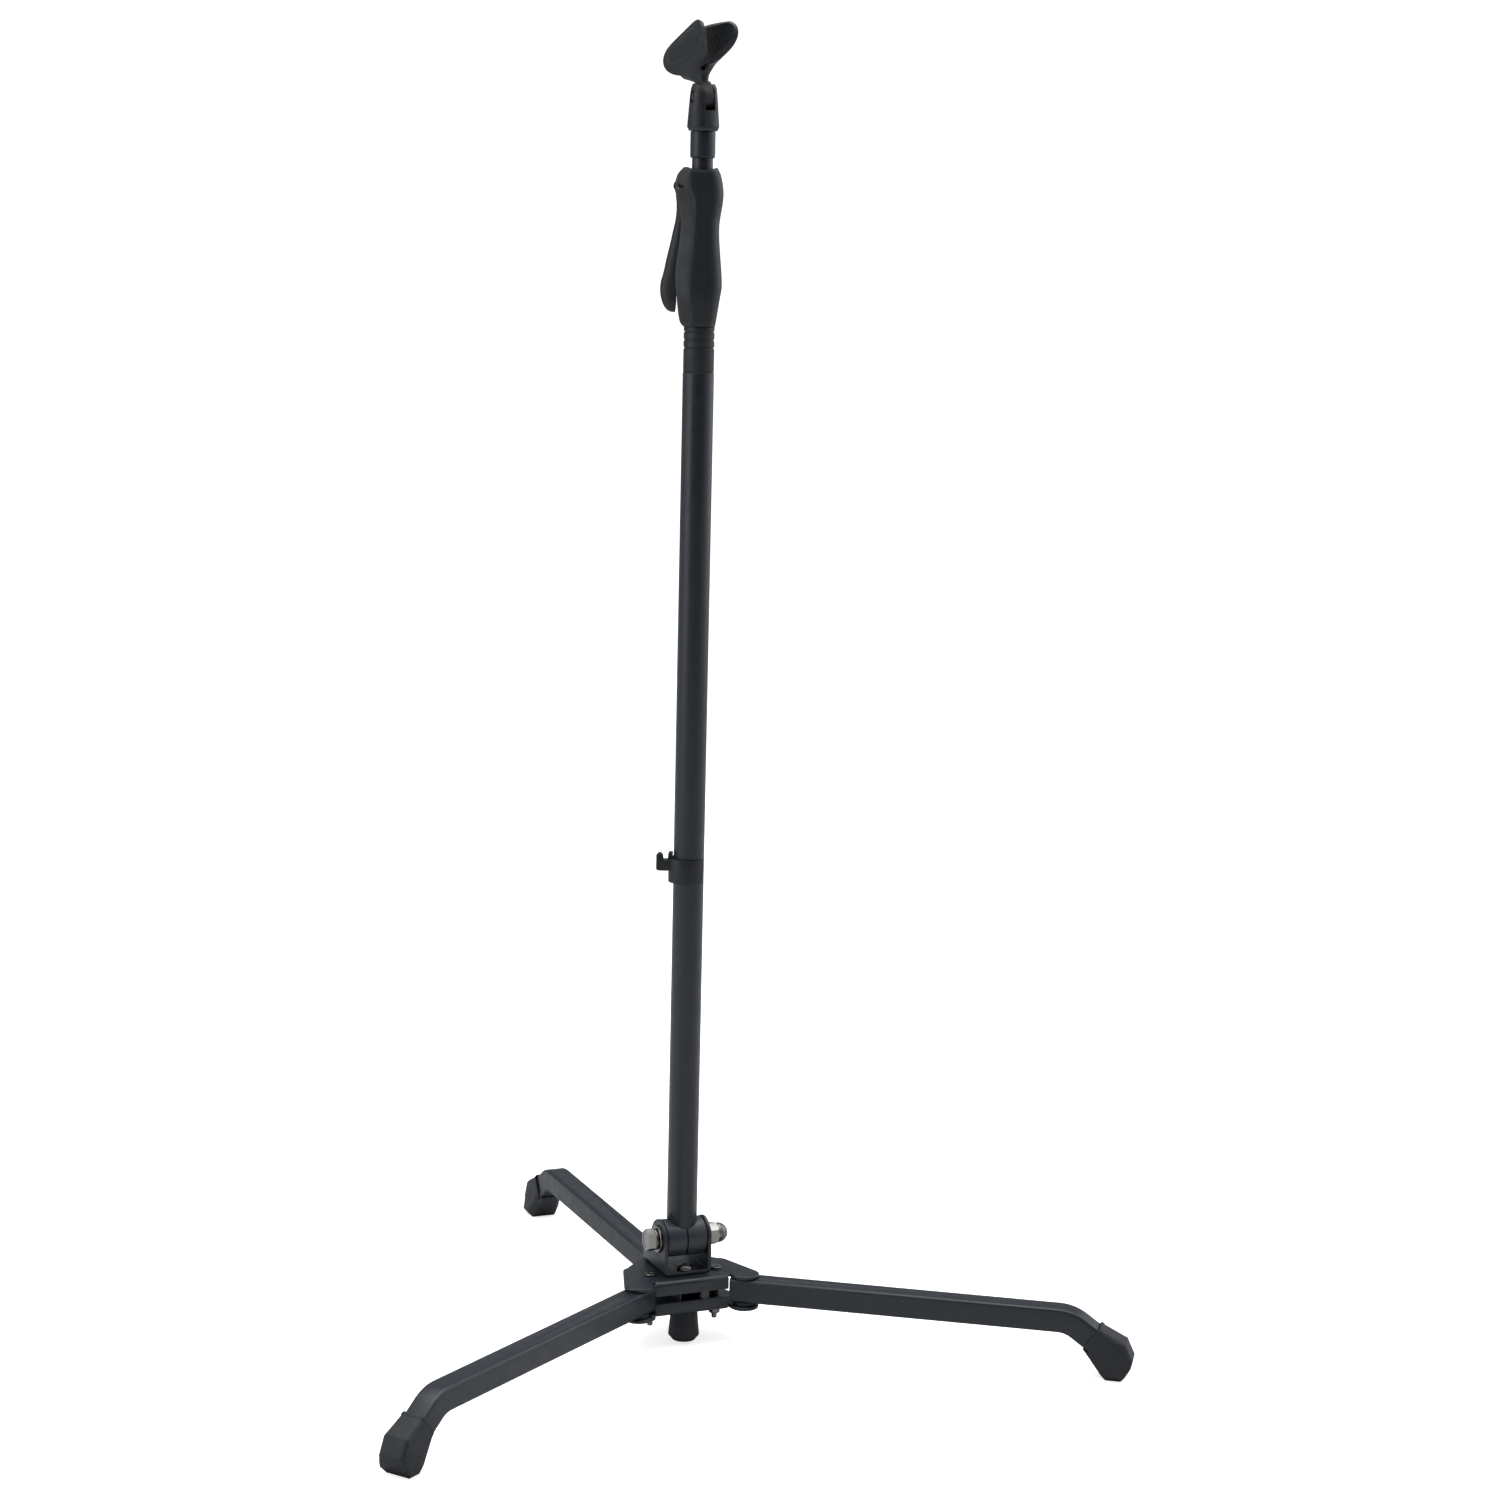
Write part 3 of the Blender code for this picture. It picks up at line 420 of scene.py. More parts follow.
def finish_piece(target, place=None, smooth=40):
    """Puts a shape at its place in the frame, gives it its finish, and lets it stand for its CAD node."""
    node = target.name.removesuffix("_look")
    target.data.transform(Matrix.Scale(MM, 4) @ (place or Matrix.Identity(4)))
    target.data.shade_smooth()
    target.data.set_sharp_from_angle(angle=radians(smooth))
    slot = SLOT_OF[node]
    target.data.materials.clear()
    target.data.materials.append(FINISHES[slot])
    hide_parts(node)
    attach(target, BODY_OF[node])


def placed(location, heading=0.0):
    return Matrix.Translation(Vector(location)) @ Matrix.Rotation(heading, 4, "Z")


# ---- legs and feet

def rounded_square(half, corner, steps):
    inner = half - corner
    points = []
    for k, (sx, sy) in enumerate([(1, 1), (-1, 1), (-1, -1), (1, -1)]):
        points += arc((sx * inner, sy * inner), corner, 90 * k, 90 * (k + 1), steps)
    return points


def leg_stations(start, run, tail, steps=16):
    """Centre and slope along a leg in its own frame: x outward, z up, bend down after the run."""
    stations = [(start, LEG_AXIS, 0.0)]
    for i in range(steps + 1):
        slope = LEG_BEND * i / steps
        x = run + LEG_BEND_RADIUS * sin(slope)
        z = LEG_AXIS - LEG_BEND_RADIUS * (1 - cos(slope))
        stations.append((x, z, slope))
    x, z, slope = stations[-1]
    stations.append((x + tail * cos(slope), z - tail * sin(slope), slope))
    return stations


def leg_tube(start, run):
    """A bent square tube, open at both ends."""
    bm = bmesh.new()
    stations = leg_stations(start, run, LEG_TAIL)
    skins = []
    for half, corner in ((LEG_SIDE / 2, LEG_CORNER), (LEG_SIDE / 2 - LEG_WALL, LEG_CORNER - LEG_WALL)):
        loops = []
        for x, z, slope in stations:
            outline = rounded_square(half, corner, 6)
            loops.append([bm.verts.new((x + v * sin(slope), u, z + v * cos(slope))) for u, v in outline])
        skins.append(loops)
    outer, inner = skins
    for loops in skins:
        for loop, following in zip(loops, loops[1:]):
            join_rings(bm, loop, following)
    join_rings(bm, outer[0], inner[0])
    join_rings(bm, outer[-1], inner[-1])
    return bm


def make_leg(name, start, run, holes, place):
    leg = solid(name + "_look", leg_tube(start, run))
    for x in holes:
        cut(leg, shift(cylinder(PIN_RADIUS + GAP, LEG_AXIS - 12, LEG_AXIS + 12), (x, 0, 0)))
    round_edges(leg, 0.15, 2, 60)
    finish_piece(leg, place)


# Sections from mouth to toe: distance along, height of the top, half widths at the top and the bottom.
FOOT_SECTIONS = [(0, 11.9, 11.6, 12.1), (2.4, 12.1, 11.7, 12.4), (3.2, 11.6, 11.3, 12.0),
                 (24.5, 14.7, 12.0, 14.6), (29.6, 11.6, 12.0, 14.8), (37.0, 7.5, 11.8, 14.8),
                 (FOOT_LENGTH, 1.5, 12.4, 14.8)]


def foot_section(floor_drop, along, top, top_half, bottom_half):
    """One cross-section of a rubber foot in the bent leg's frame: its sole follows the floor."""
    bottom = max((along * sin(LEG_BEND) - floor_drop) / cos(LEG_BEND), -11.5 - 0.3 * along)
    edge = min(2.2, (top - bottom) / 4)
    skirt = min(6.0, (top - bottom) / 2.5)
    sole_half = bottom_half - 0.7 * skirt
    return [
        (along, top_half - edge, top), (along, -top_half + edge, top),
        (along, -top_half, top - edge), (along, -bottom_half, bottom + skirt),
        (along, -sole_half, bottom), (along, sole_half, bottom),
        (along, bottom_half, bottom + skirt), (along, top_half, top - edge),
    ]


def make_foot(name, run, place):
    """A flared rubber boot: lipped mouth for the tube, flat sole, cut-off toe with an upper facet."""
    x, z, slope = leg_stations(0, run, LEG_TAIL)[-2]
    mouth_x = x + FOOT_START * cos(slope)
    mouth_z = z - FOOT_START * sin(slope)
    mouth = (mouth_x, 0, mouth_z)
    boot = loft([foot_section(mouth_z, *section) for section in FOOT_SECTIONS])
    foot = solid(name + "_look", shift(turn_mesh(boot, "Y", slope), mouth))
    half = LEG_SIDE / 2 + GAP
    socket = box((-5, -half, -half), (FOOT_SOCKET, half, half))
    cut(foot, shift(turn_mesh(socket, "Y", slope), mouth))
    round_edges(foot, 0.7, 3, 20)
    finish_piece(foot, place)


def make_legs():
    side_place = {
        "right": placed((RIGHT_PIVOT.x, RIGHT_PIVOT.y, 0), SIDE_LEG_HEADING),
        "left": placed((-RIGHT_PIVOT.x, RIGHT_PIVOT.y, 0), pi - SIDE_LEG_HEADING),
    }
    for side, place in side_place.items():
        make_leg(side + "_leg", -LEG_INNER_END, SIDE_LEG_RUN, [0], place)
        make_foot(side + "_foot", SIDE_LEG_RUN, place)
    back = placed((0, 0, 0), pi / 2)
    make_leg("back_leg", BACK_LOW.y, BACK_LEG_RUN, [HUB_BOLT_Y, BACK_LOBE_Y], back)
    make_foot("back_foot", BACK_LEG_RUN, back)


# ---- hub

def plate_outline():
    """A hub plate behind its flange's bend: two side lobes and a back lobe with filleted waists."""
    px, py = RIGHT_PIVOT.x, RIGHT_PIVOT.y
    front = FLANGE_Y + 4.5
    right = [(px - LOBE_RADIUS, front)]
    right += arc((px, py), LOBE_RADIUS, 180, 370, 40)
    right += arc((38.0, 10.0), 9.0, 20, 70, 10)
    right += arc((0, BACK_LOBE_Y), LOBE_RADIUS, 30, 90, 14)
    left = [(-x, y) for x, y in reversed(right[:-1])]
    return right + left


def flange_outline(face, tip, up):
    """Section (y, z) of a plate's folded front edge, from inside the plate to the flange's tip."""
    sign = 1 if up else -1
    outer = 4.0
    inner = outer - PLATE
    far = FLANGE_Y + 9.0
    centre = (FLANGE_Y + outer, face + sign * outer)
    bend = arc(centre, outer, -90 * sign, -180 * sign, 8)
    fold = arc(centre, inner, -180 * sign, -90 * sign, 6)
    edge = [(FLANGE_Y, tip), (FLANGE_Y + PLATE, tip)]
    return [(far, face)] + bend + edge + fold + [(far, face + sign * PLATE)]


def make_hub_plate(name, low, high, up):
    """A stamped plate with rounded edges and a flange folded along its front."""
    face = low.z if up else high.z
    tip = high.z if up else low.z
    bottom = low.z if up else high.z - PLATE
    plate = solid(name + "_look", prism(plate_outline(), bottom, bottom + PLATE))
    round_edges(plate, 1.1, 5)
    flange = solid("flange", cross_prism(flange_outline(face, tip, up), -FLANGE_HALF, FLANGE_HALF))
    round_edges(flange, 0.2, 2)
    add(plate, mesh_of(flange))
    past = bottom + PLATE + 5
    blind = past if up else bottom + PLATE - PIN_COVER
    for x, y in ((RIGHT_PIVOT.x, RIGHT_PIVOT.y), (-RIGHT_PIVOT.x, RIGHT_PIVOT.y), (0, BACK_LOBE_Y)):
        cut(plate, shift(cylinder(PIN_RADIUS + 0.15, bottom - 5, blind), (x, y, 0)))
    cut(plate, shift(cylinder(PIN_RADIUS + 0.15, bottom - 5, past), (0, HUB_BOLT_Y, 0)))
    rivet = (RIVET_LOW + RIVET_HIGH) / 2
    for x in (rivet.x, -rivet.x):
        cut(plate, shift(cylinder(RIVET_RADIUS + 0.15, bottom - 5, past), (x, rivet.y, 0)))
    finish_piece(plate)


def make_rivet(side):
    """A flat-headed rivet with a flared, turned-over tail."""
    low, high = span("plate_rivet_" + side)
    x = (low.x + high.x) / 2
    y = (low.y + high.y) / 2
    head = high.z - 1.5
    tail = LOWER_LOW.z - GAP
    profile = [(0, low.z), (1.7, low.z), (2.3, low.z + 0.6), (2.3, low.z + 4.0), (3.2, low.z + 4.3)]
    profile += arc((3.6, low.z + 5.6), 1.2, -70, 0, 5) + [(4.8, tail - 0.5), (4.4, tail)]
    profile += [(RIVET_RADIUS, tail), (RIVET_RADIUS, head)]
    profile += arc((4.3, head + 0.75), 1.0, -45, 60, 5, 0.7)
    profile += [(3.4, high.z), (1.3, high.z), (1.0, high.z - 0.3), (0, high.z - 0.35)]
    rivet = solid("plate_rivet_" + side + "_look", turned(profile, 40))
    finish_piece(rivet, placed((x, y, 0)))


def make_leg_pin(side):
    """A leg pin, its end welded and painted over under the plate's skin."""
    low, high = span(side + "_leg_pin")
    centre = (low + high) / 2
    top = high.z - PIN_COVER - 0.3
    profile = [(0, low.z), (3.4, low.z), (PIN_RADIUS - 0.15, low.z + 0.5), (PIN_RADIUS - 0.15, top - 0.4),
               (PIN_RADIUS - 0.5, top), (0, top)]
    pin = solid(side + "_leg_pin_look", turned(profile, 40))
    finish_piece(pin, placed((centre.x, centre.y, 0)))


def make_centre_foot():
    """Tapered rubber stop under the hub with a rounded shoulder and a chamfered rim."""
    low, high = span("centre_foot")
    wide = high.x
    bore = PIN_RADIUS + GAP
    profile = [(bore, high.z), (10.6, high.z)] + arc((10.2, high.z - 0.8), 0.8, 80, 10, 3)
    profile += arc((wide - 0.9, low.z + 4.4), 0.9, 5, -35, 4)
    profile += [(wide - 3.3, low.z), (7.6, low.z), (7.6, low.z + 9.5), (bore, low.z + 9.5)]
    foot = solid("centre_foot_look", turned(profile))
    finish_piece(foot, placed((0, HUB_BOLT_Y, 0)))


def make_hub_bolt():
    """Button-headed bolt with a hexagon socket through the bracket's floor."""
    low, high = HUB_BOLT_LOW, HUB_BOLT_HIGH
    seat = high.z - 4.0
    profile = [(0, low.z), (PIN_RADIUS, low.z), (PIN_RADIUS, seat), (6.6, seat)]
    profile += [(6.6, seat + 1.6)] + arc((3.6, seat + 1.2), 3.0, 15, 90, 8, 2.8) + [(0, high.z)]
    bolt = solid("hub_bolt_look", turned(profile))
    cut(bolt, cylinder(2.9, high.z - 2.6, high.z + 3, 6))
    round_edges(bolt, 0.15, 2)
    finish_piece(bolt, placed((0, HUB_BOLT_Y, 0)))


def make_hub():
    make_hub_plate("upper_hub_plate", UPPER_LOW, UPPER_HIGH, False)
    make_hub_plate("lower_hub_plate", LOWER_LOW, LOWER_HIGH, True)
    for side in ("left", "right"):
        make_rivet(side)
    for side in ("left", "right", "back"):
        make_leg_pin(side)
    make_centre_foot()
    make_hub_bolt()


# ---- tilt joint

TILT_PLACE = placed((0, 0, TILT_Z))


def ear_outline(base):
    """Side view (y, z) of a bracket ear: straight front, round top, sloping back."""
    corner = (BRACKET_HIGH.y, base + 6)
    reach = hypot(corner[0], corner[1] - TILT_Z)
    down = asin((corner[1] - TILT_Z) / reach)
    tangent = down + asin(sqrt(reach ** 2 - EAR_RADIUS ** 2) / reach)
    top = arc((0, TILT_Z), EAR_RADIUS, tangent * 180 / pi, 180, 40)
    return [(BRACKET_HIGH.y, base), corner] + top + [(-EAR_RADIUS, base)]


def make_bracket():
    """Folded U bracket: a floor and two ears of one sheet, with rounded folds."""
    base = BRACKET_LOW.z
    inside = BRACKET_HALF - BRACKET_SHEET
    fold = 3.6
    top = BRACKET_HIGH.z + 5
    centre = (BRACKET_HALF - fold, base + fold)
    right = arc(centre, fold, -90, 0, 8) + [(BRACKET_HALF, top), (inside, top)]
    right += arc(centre, fold - BRACKET_SHEET, 0, -90, 5)
    section = right + [(-x, z) for x, z in reversed(right)]
    bracket = solid("tilt_bracket_look", side_prism(section, -60, 60))
    keep(bracket, cross_prism(ear_outline(base), -60, 60))
    bolt_hole = along_x(cylinder(TILT_BOLT_RADIUS + GAP, -30, 30))
    cut(bracket, shift(bolt_hole, (0, 0, TILT_Z)))
    cut(bracket, shift(cylinder(PIN_RADIUS + GAP, base - 5, base + 8), (0, HUB_BOLT_Y, 0)))
    round_edges(bracket, 0.55, 3)
    finish_piece(bracket)


def hexagon_blank(across_corners, low, high, chamfer):
    """A hexagon with its corners turned off at the ends where the chamfer says so."""
    blank = solid("blank", cylinder(across_corners / 2, low, high, 6))
    radius = across_corners / 2
    flat = radius * 0.90
    slant = (radius - flat) * tan(radians(28))
    if chamfer[0]:
        profile = [(0, low), (flat, low), (radius + 0.01, low + slant)]
    else:
        profile = [(0, low), (radius + 1, low)]
    if chamfer[1]:
        profile += [(radius + 0.01, high - slant), (flat, high), (0, high)]
    else:
        profile += [(radius + 1, high), (0, high)]
    keep(blank, turned(profile, 64))
    return blank


def mesh_of(target):
    """Takes a helper object's mesh as a bmesh and removes the object."""
    bm = bmesh.new()
    bm.from_mesh(target.data)
    bpy.data.objects.remove(target)
    return bm


def make_tilt_bolt():
    """Hex bolt at -X: chamfered head, rolled shank end."""
    low, high = span("tilt_bolt")
    head = low.x + TILT_BOLT_HEAD
    radius = TILT_BOLT_RADIUS
    shank = [(0, head - 1), (radius, head - 1), (radius, high.x - 0.8), (radius - 0.8, high.x), (0, high.x)]
    bolt = solid("tilt_bolt_look", along_x(turned(shank)))
    add(bolt, along_x(mesh_of(hexagon_blank(TILT_HEX, low.x, head, (True, False)))))
    cut(bolt, along_x(turned([(0, low.x - 1), (6.4, low.x - 1), (6.4, low.x + 0.35), (0, low.x + 0.35)])))
    round_edges(bolt, 0.22, 2)
    finish_piece(bolt, TILT_PLACE)


def make_tilt_nut():
    """Dome nut at +X: chamfered hexagon, groove and polished dome."""
    low, high = span("tilt_dome_nut")
    seat = low.x
    blank = hexagon_blank(TILT_HEX, seat, seat + 7.5, (True, True))
    nut = solid("tilt_dome_nut_look", along_x(mesh_of(blank)))
    rim = seat + 9.0
    dome = [(0, seat + 6), (8.0, seat + 6), (8.0, rim - 0.9), (8.4, rim - 0.5)]
    dome += arc((0, rim), 8.4, 2, 88, 20, high.x - rim) + [(0, high.x)]
    add(nut, along_x(turned(dome)))
    cut(nut, along_x(cylinder(TILT_BOLT_RADIUS + GAP, seat - 5, seat + 11.5)))
    round_edges(nut, 0.22, 2)
    finish_piece(nut, TILT_PLACE)


def make_flat_washer(node):
    low, high = span(node)
    radius = high.y
    chamfer = 0.35
    profile = [(5.3, low.x), (radius - chamfer, low.x), (radius, low.x + chamfer),
               (radius, high.x - chamfer), (radius - chamfer, high.x), (5.3, high.x)]
    finish_piece(solid(node + "_look", along_x(turned(profile, 72))), TILT_PLACE)


def make_spring_washer():
    """A split ring whose two ends stand a little apart."""
    low, high = span("tilt_spring_washer")
    radius = high.y
    step = 0.35
    thick = high.x - low.x - step
    rings = []
    for i in range(65):
        part = i / 64
        angle = radians(95 + 352 * part)
        start = low.x + step * part
        section = [(5.4, start), (radius, start), (radius, start + thick), (5.4, start + thick)]
        rings.append([(r * cos(angle), r * sin(angle), h) for r, h in section])
    washer = solid("tilt_spring_washer_look", along_x(loft(rings)))
    round_edges(washer, 0.12, 2)
    finish_piece(washer, TILT_PLACE)


def make_pivot_block():
    """Barrel between the ears with a spigot up into the pole, slit at the front."""
    half = span("pivot_block")[1].x
    edge = 1.2
    barrel = [(0, -half)] + arc((BLOCK_RADIUS - edge, -half + edge), edge, -90, 0, 5)
    barrel += arc((BLOCK_RADIUS - edge, half - edge), edge, 0, 90, 5) + [(0, half)]
    block = solid("pivot_block_look", along_x(turned(barrel, 96)))
    add(block, cylinder(OUTER_BORE - GAP, 8, 46))
    cut(block, along_x(cylinder(TILT_BOLT_RADIUS + GAP, -30, 30)))
    cut(block, box((-0.6, -40, -40), (0.6, -8, 14)))
    round_edges(block, 0.25, 2, 50)
    finish_piece(block, TILT_PLACE)


def make_tilt_joint():
    make_bracket()
    make_tilt_bolt()
    make_tilt_nut()
    make_flat_washer("tilt_washer_left")
    make_flat_washer("tilt_washer_right")
    make_spring_washer()
    make_pivot_block()


# ---- pole

def make_outer_tube():
    """Lower tube with a rolled mouth, its foot coped over the pivot barrel."""
    low = TILT_Z - 4
    roll = 0.5
    profile = [(OUTER_BORE, low), (OUTER_RADIUS, low)]
    profile += arc((OUTER_RADIUS - roll, OUTER_TOP - roll), roll, 0, 90, 4)
    profile += arc((OUTER_BORE + roll, OUTER_TOP - roll), roll, 90, 180, 4)
    tube = solid("outer_tube_look", turned(profile, 96))
    cut(tube, shift(along_x(cylinder(BLOCK_RADIUS + GAP, -30, 30, 96)), (0, 0, TILT_Z)))
    round_edges(tube, 0.2, 2, 50)
    finish_piece(tube)


def make_collar():
    """Ribbed collar in the mouth of the outer tube, with three rounded grooves."""
    bore = INNER_RADIUS + 0.2
    mouth = COLLAR_LOW.z + 28
    top = COLLAR_HIGH.z - 13
    profile = [(bore, COLLAR_LOW.z), (OUTER_BORE - 0.2, COLLAR_LOW.z), (OUTER_BORE - 0.2, mouth)]
    profile += arc((COLLAR_RADIUS - 0.4, mouth + 0.4), 0.4, -90, 0, 4)
    for depth in (16.8, 10.4, 4.0):
        profile += arc((COLLAR_RADIUS + 0.1, top - depth), 0.8, -97, -263, 8, 0.95)
    profile += arc((COLLAR_RADIUS - 0.4, top - 0.4), 0.4, 0, 90, 4)
    profile += [(10.4, top), (10.4, COLLAR_HIGH.z), (bore, COLLAR_HIGH.z)]
    finish_piece(solid("tube_collar_look", turned(profile, 96)))


def make_inner_tube():
    roll = 0.4
    bore = INNER_RADIUS - TUBE_WALL
    profile = [(bore, INNER_LOW), (INNER_RADIUS, INNER_LOW)]
    profile += arc((INNER_RADIUS - roll, INNER_HIGH - roll), roll, 0, 90, 4)
    profile += [(bore, INNER_HIGH)]
    finish_piece(solid("inner_tube_look", turned(profile, 72)))


def make_ferrule():
    """Pressed sleeve at the tube's top with the stud that the clip screws on to."""
    low, high = span("tube_ferrule")
    shoulder = CLIP_BASE_LOW - GAP
    wide = high.x
    stud = 7.7
    profile = [(INNER_RADIUS + 0.2, low.z), (wide - 0.8, low.z), (wide - 0.5, low.z + 0.3)]
    profile += arc((wide - 0.6, low.z + 1.6), 0.6, -30, 0, 3)
    profile += arc((wide - 0.6, shoulder - 0.6), 0.6, 0, 90, 4)
    profile += [(stud, shoulder)]
    thread = shoulder + 0.8
    while thread < high.z - 1.6:
        profile += [(stud, thread), (stud - 0.5, thread + 0.3), (stud, thread + 0.6)]
        thread += 0.95
    profile += [(7.0, high.z), (0, high.z), (0, INNER_HIGH + GAP), (INNER_RADIUS + 0.2, INNER_HIGH + GAP)]
    finish_piece(solid("tube_ferrule_look", turned(profile, 72)))


def make_pole():
    make_outer_tube()
    make_collar()
    make_inner_tube()
    make_ferrule()


# ---- clutch grip

# The lever faces the grip's heading. The outlines are smooth curves through (height, reach) points,
# reach being the distance from the pole's axis towards the lever (front) or away from it (back).
GRIP_HEADING = radians(158)
GRIP_PLACE = placed((0, 0, 0), GRIP_HEADING)
GRIP_HALF_WIDTH = 15.5
GRIP_FOOT_HALF_WIDTH = 12.6
GRIP_FRONT = [(839.3, 13.0), (843.0, 15.7), (861.0, 18.3), (880.0, 19.8), (920.0, 16.1), (947.0, 21.1),
              (957.0, 19.6), (963.3, 14.6)]
GRIP_BACK = [(839.3, 12.6), (861.0, 15.9), (872.0, 17.3), (916.0, 14.3), (942.0, 17.2), (957.0, 15.0),
             (963.3, 12.0)]
LEVER_PIVOT = Matrix.Rotation(-GRIP_HEADING, 3, "Z") @ joint_point("lever_squeeze")
LEVER_HALF_WIDTH = 6.5
PLATE_FULCRUM = Matrix.Rotation(-GRIP_HEADING, 3, "Z") @ joint_point("clutch_release")
PANEL_EDGE = [(839.3, 5.4), (852.0, 6.6), (868.0, 8.0), (905.0, 5.6), (938.0, 5.0), (947.0, 8.6),
              (963.3, 9.0)]
PANEL_STEP = 0.6
GRIP_SCREWS = {"upper": (-13.0, 934.0), "lower": (-13.2, 872.0)}
SLOT_LIP = 7.6


def curve_slope(points, i):
    z0, r0 = points[max(i - 1, 0)]
    z1, r1 = points[min(i + 1, len(points) - 1)]
    return (r1 - r0) / (z1 - z0)


def reach_at(points, height):
    """Reads the smooth curve through (height, reach) points."""
    height = min(max(height, points[0][0]), points[-1][0])
    i = max(k for k in range(len(points) - 1) if points[k][0] <= height)
    (z0, r0), (z1, r1) = points[i], points[i + 1]
    length = z1 - z0
    t = (height - z0) / length
    rise = r1 - r0
    start = curve_slope(points, i) * length
    end = curve_slope(points, i + 1) * length
    return r0 + t * (start + t * (3 * rise - 2 * start - end + t * (start + end - 2 * rise)))


def grip_width(height):
    into = min(1.0, (height - GRIP_BOTTOM) / 24)
    into = into * into * (3 - 2 * into)
    rounding = max(0.0, 1 - (GRIP_TOP - height) / 5) ** 2
    return GRIP_FOOT_HALF_WIDTH + (GRIP_HALF_WIDTH - GRIP_FOOT_HALF_WIDTH) * into - 1.8 * rounding


def grip_side(u, height):
    """Half width of the grip at a reach u: a slanted flat panel by the lever, a rounded back."""
    back = reach_at(GRIP_BACK, height)
    edge = reach_at(PANEL_EDGE, height)
    width = grip_width(height)
    if u > edge:
        front = reach_at(GRIP_FRONT, height)
        return width - PANEL_STEP - (width - PANEL_STEP - SLOT_LIP) * ((u - edge) / (front - edge)) ** 1.25
    if u > -0.25 * back:
        return width
    share = min(1.0, (-u - 0.25 * back) / (0.75 * back))
    return GAP / 2 + (width - GAP / 2) * sqrt(1 - share ** 2.3) ** 0.85


def grip_half_section(height, side):
    front = reach_at(GRIP_FRONT, height)
    back = reach_at(GRIP_BACK, height)
    edge = reach_at(PANEL_EDGE, height)
    points = [(front, side * GAP / 2, height)]
    reaches = [edge + (front - edge) * (1 - k / 8) for k in range(9)]
    reaches[-1] = edge + 0.12
    reaches += [edge - 0.12, edge - 0.7, edge * 0.3, -0.12 * back, -0.25 * back]
    turns = (12, 24, 36, 47, 57, 66, 74, 81, 86)
    reaches += [-back * (0.25 + 0.75 * sin(radians(angle))) for angle in turns]
    for u in reaches:
        points.append((u, side * grip_side(u, height), height))
    points.append((-back, side * GAP / 2, height))
    return points


def grip_levels():
    body = [GRIP_BOTTOM + (GRIP_TOP - 7 - GRIP_BOTTOM) * i / 44 for i in range(45)]
    return body + [GRIP_TOP - 7 * cos(radians(angle)) for angle in (30, 50, 65, 78, 90)]


def lever_pin_hole():
    return shift(along_y(cylinder(2.05, -13, 13)), (LEVER_PIVOT.x, 0, LEVER_PIVOT.z))


def make_grip_half(name, side):
    rings = [grip_half_section(z, side) for z in grip_levels()]
    shell = solid(name + "_look", loft(rings))
    tube_bore = cylinder(INNER_RADIUS + 0.5, GRIP_BOTTOM - 5, GRIP_TOP + 5)
    collar_seat = cylinder(10.8, GRIP_BOTTOM - 5, GRIP_BOTTOM + 14.5)
    plate_chamber = cylinder(12.9, 940.4, 960.6)
    hollow = box((-10.4, -11.5, 860), (6.0, 11.5, 936))
    for space in (tube_bore, collar_seat, plate_chamber, hollow):
        cut(shell, space)
    saddle = arc((0, GRIP_TOP + 19.0), 26.0, 200, 340, 24, 21.2)
    cut(shell, side_prism(saddle, -30, 30))
    slot = LEVER_HALF_WIDTH + GAP + 0.2
    pocket = [(7.6, 848.0), (40.0, 848.0), (40.0, 952.0), (21.0, 954.6), (11.6, 954.6), (9.0, 940.0)]
    cut(shell, side_prism(pocket, -slot, slot))
    cut(shell, lever_pin_hole())
    for u, z in GRIP_SCREWS.values():
        hole = turned([(0, -10.5), (1.8, -10.5), (1.8, 11.6), (3.2, 11.6), (3.2, 20), (0, 20)], 32)
        cut(shell, shift(along_y(hole), (u, 0, z)))
    round_edges(shell, 0.35, 2, 50)
    finish_piece(shell, GRIP_PLACE)


def make_grip_screw(level, u, z):
    profile = [(0, -9.5), (1.5, -9.5), (1.5, 11.9), (2.9, 11.9), (2.9, 13.2)]
    profile += arc((2.3, 13.4), 0.6, 0, 90, 4) + [(0, 14.0)]
    screw = solid("grip_screw_" + level + "_look", turned(profile, 32))
    for angle in (0, pi / 2):
        cut(screw, turn_mesh(box((-1.9, -0.35, 13.0), (1.9, 0.35, 15.0)), "Z", angle))
    screw.data.transform(Matrix.Translation((u, 0, z)) @ Matrix.Rotation(pi / 2, 4, "X"))
    finish_piece(screw, GRIP_PLACE)


LEVER_OUTER = [(868.5, 31.7), (874.0, 31.2), (880.3, 29.4), (891.0, 27.2), (902.5, 24.6), (914.0, 22.2),
               (924.0, 20.2), (934.6, 19.8), (944.0, 21.0)]
LEVER_INNER = [(850.1, 19.4), (856.0, 18.7), (866.0, 18.6), (905.0, 15.0), (944.0, 13.4)]
LEVER_LOW = 850.1
LEVER_SWELL_Z = 868.5
LEVER_SWELL_U = 22.0
LEVER_SWELL = 9.7


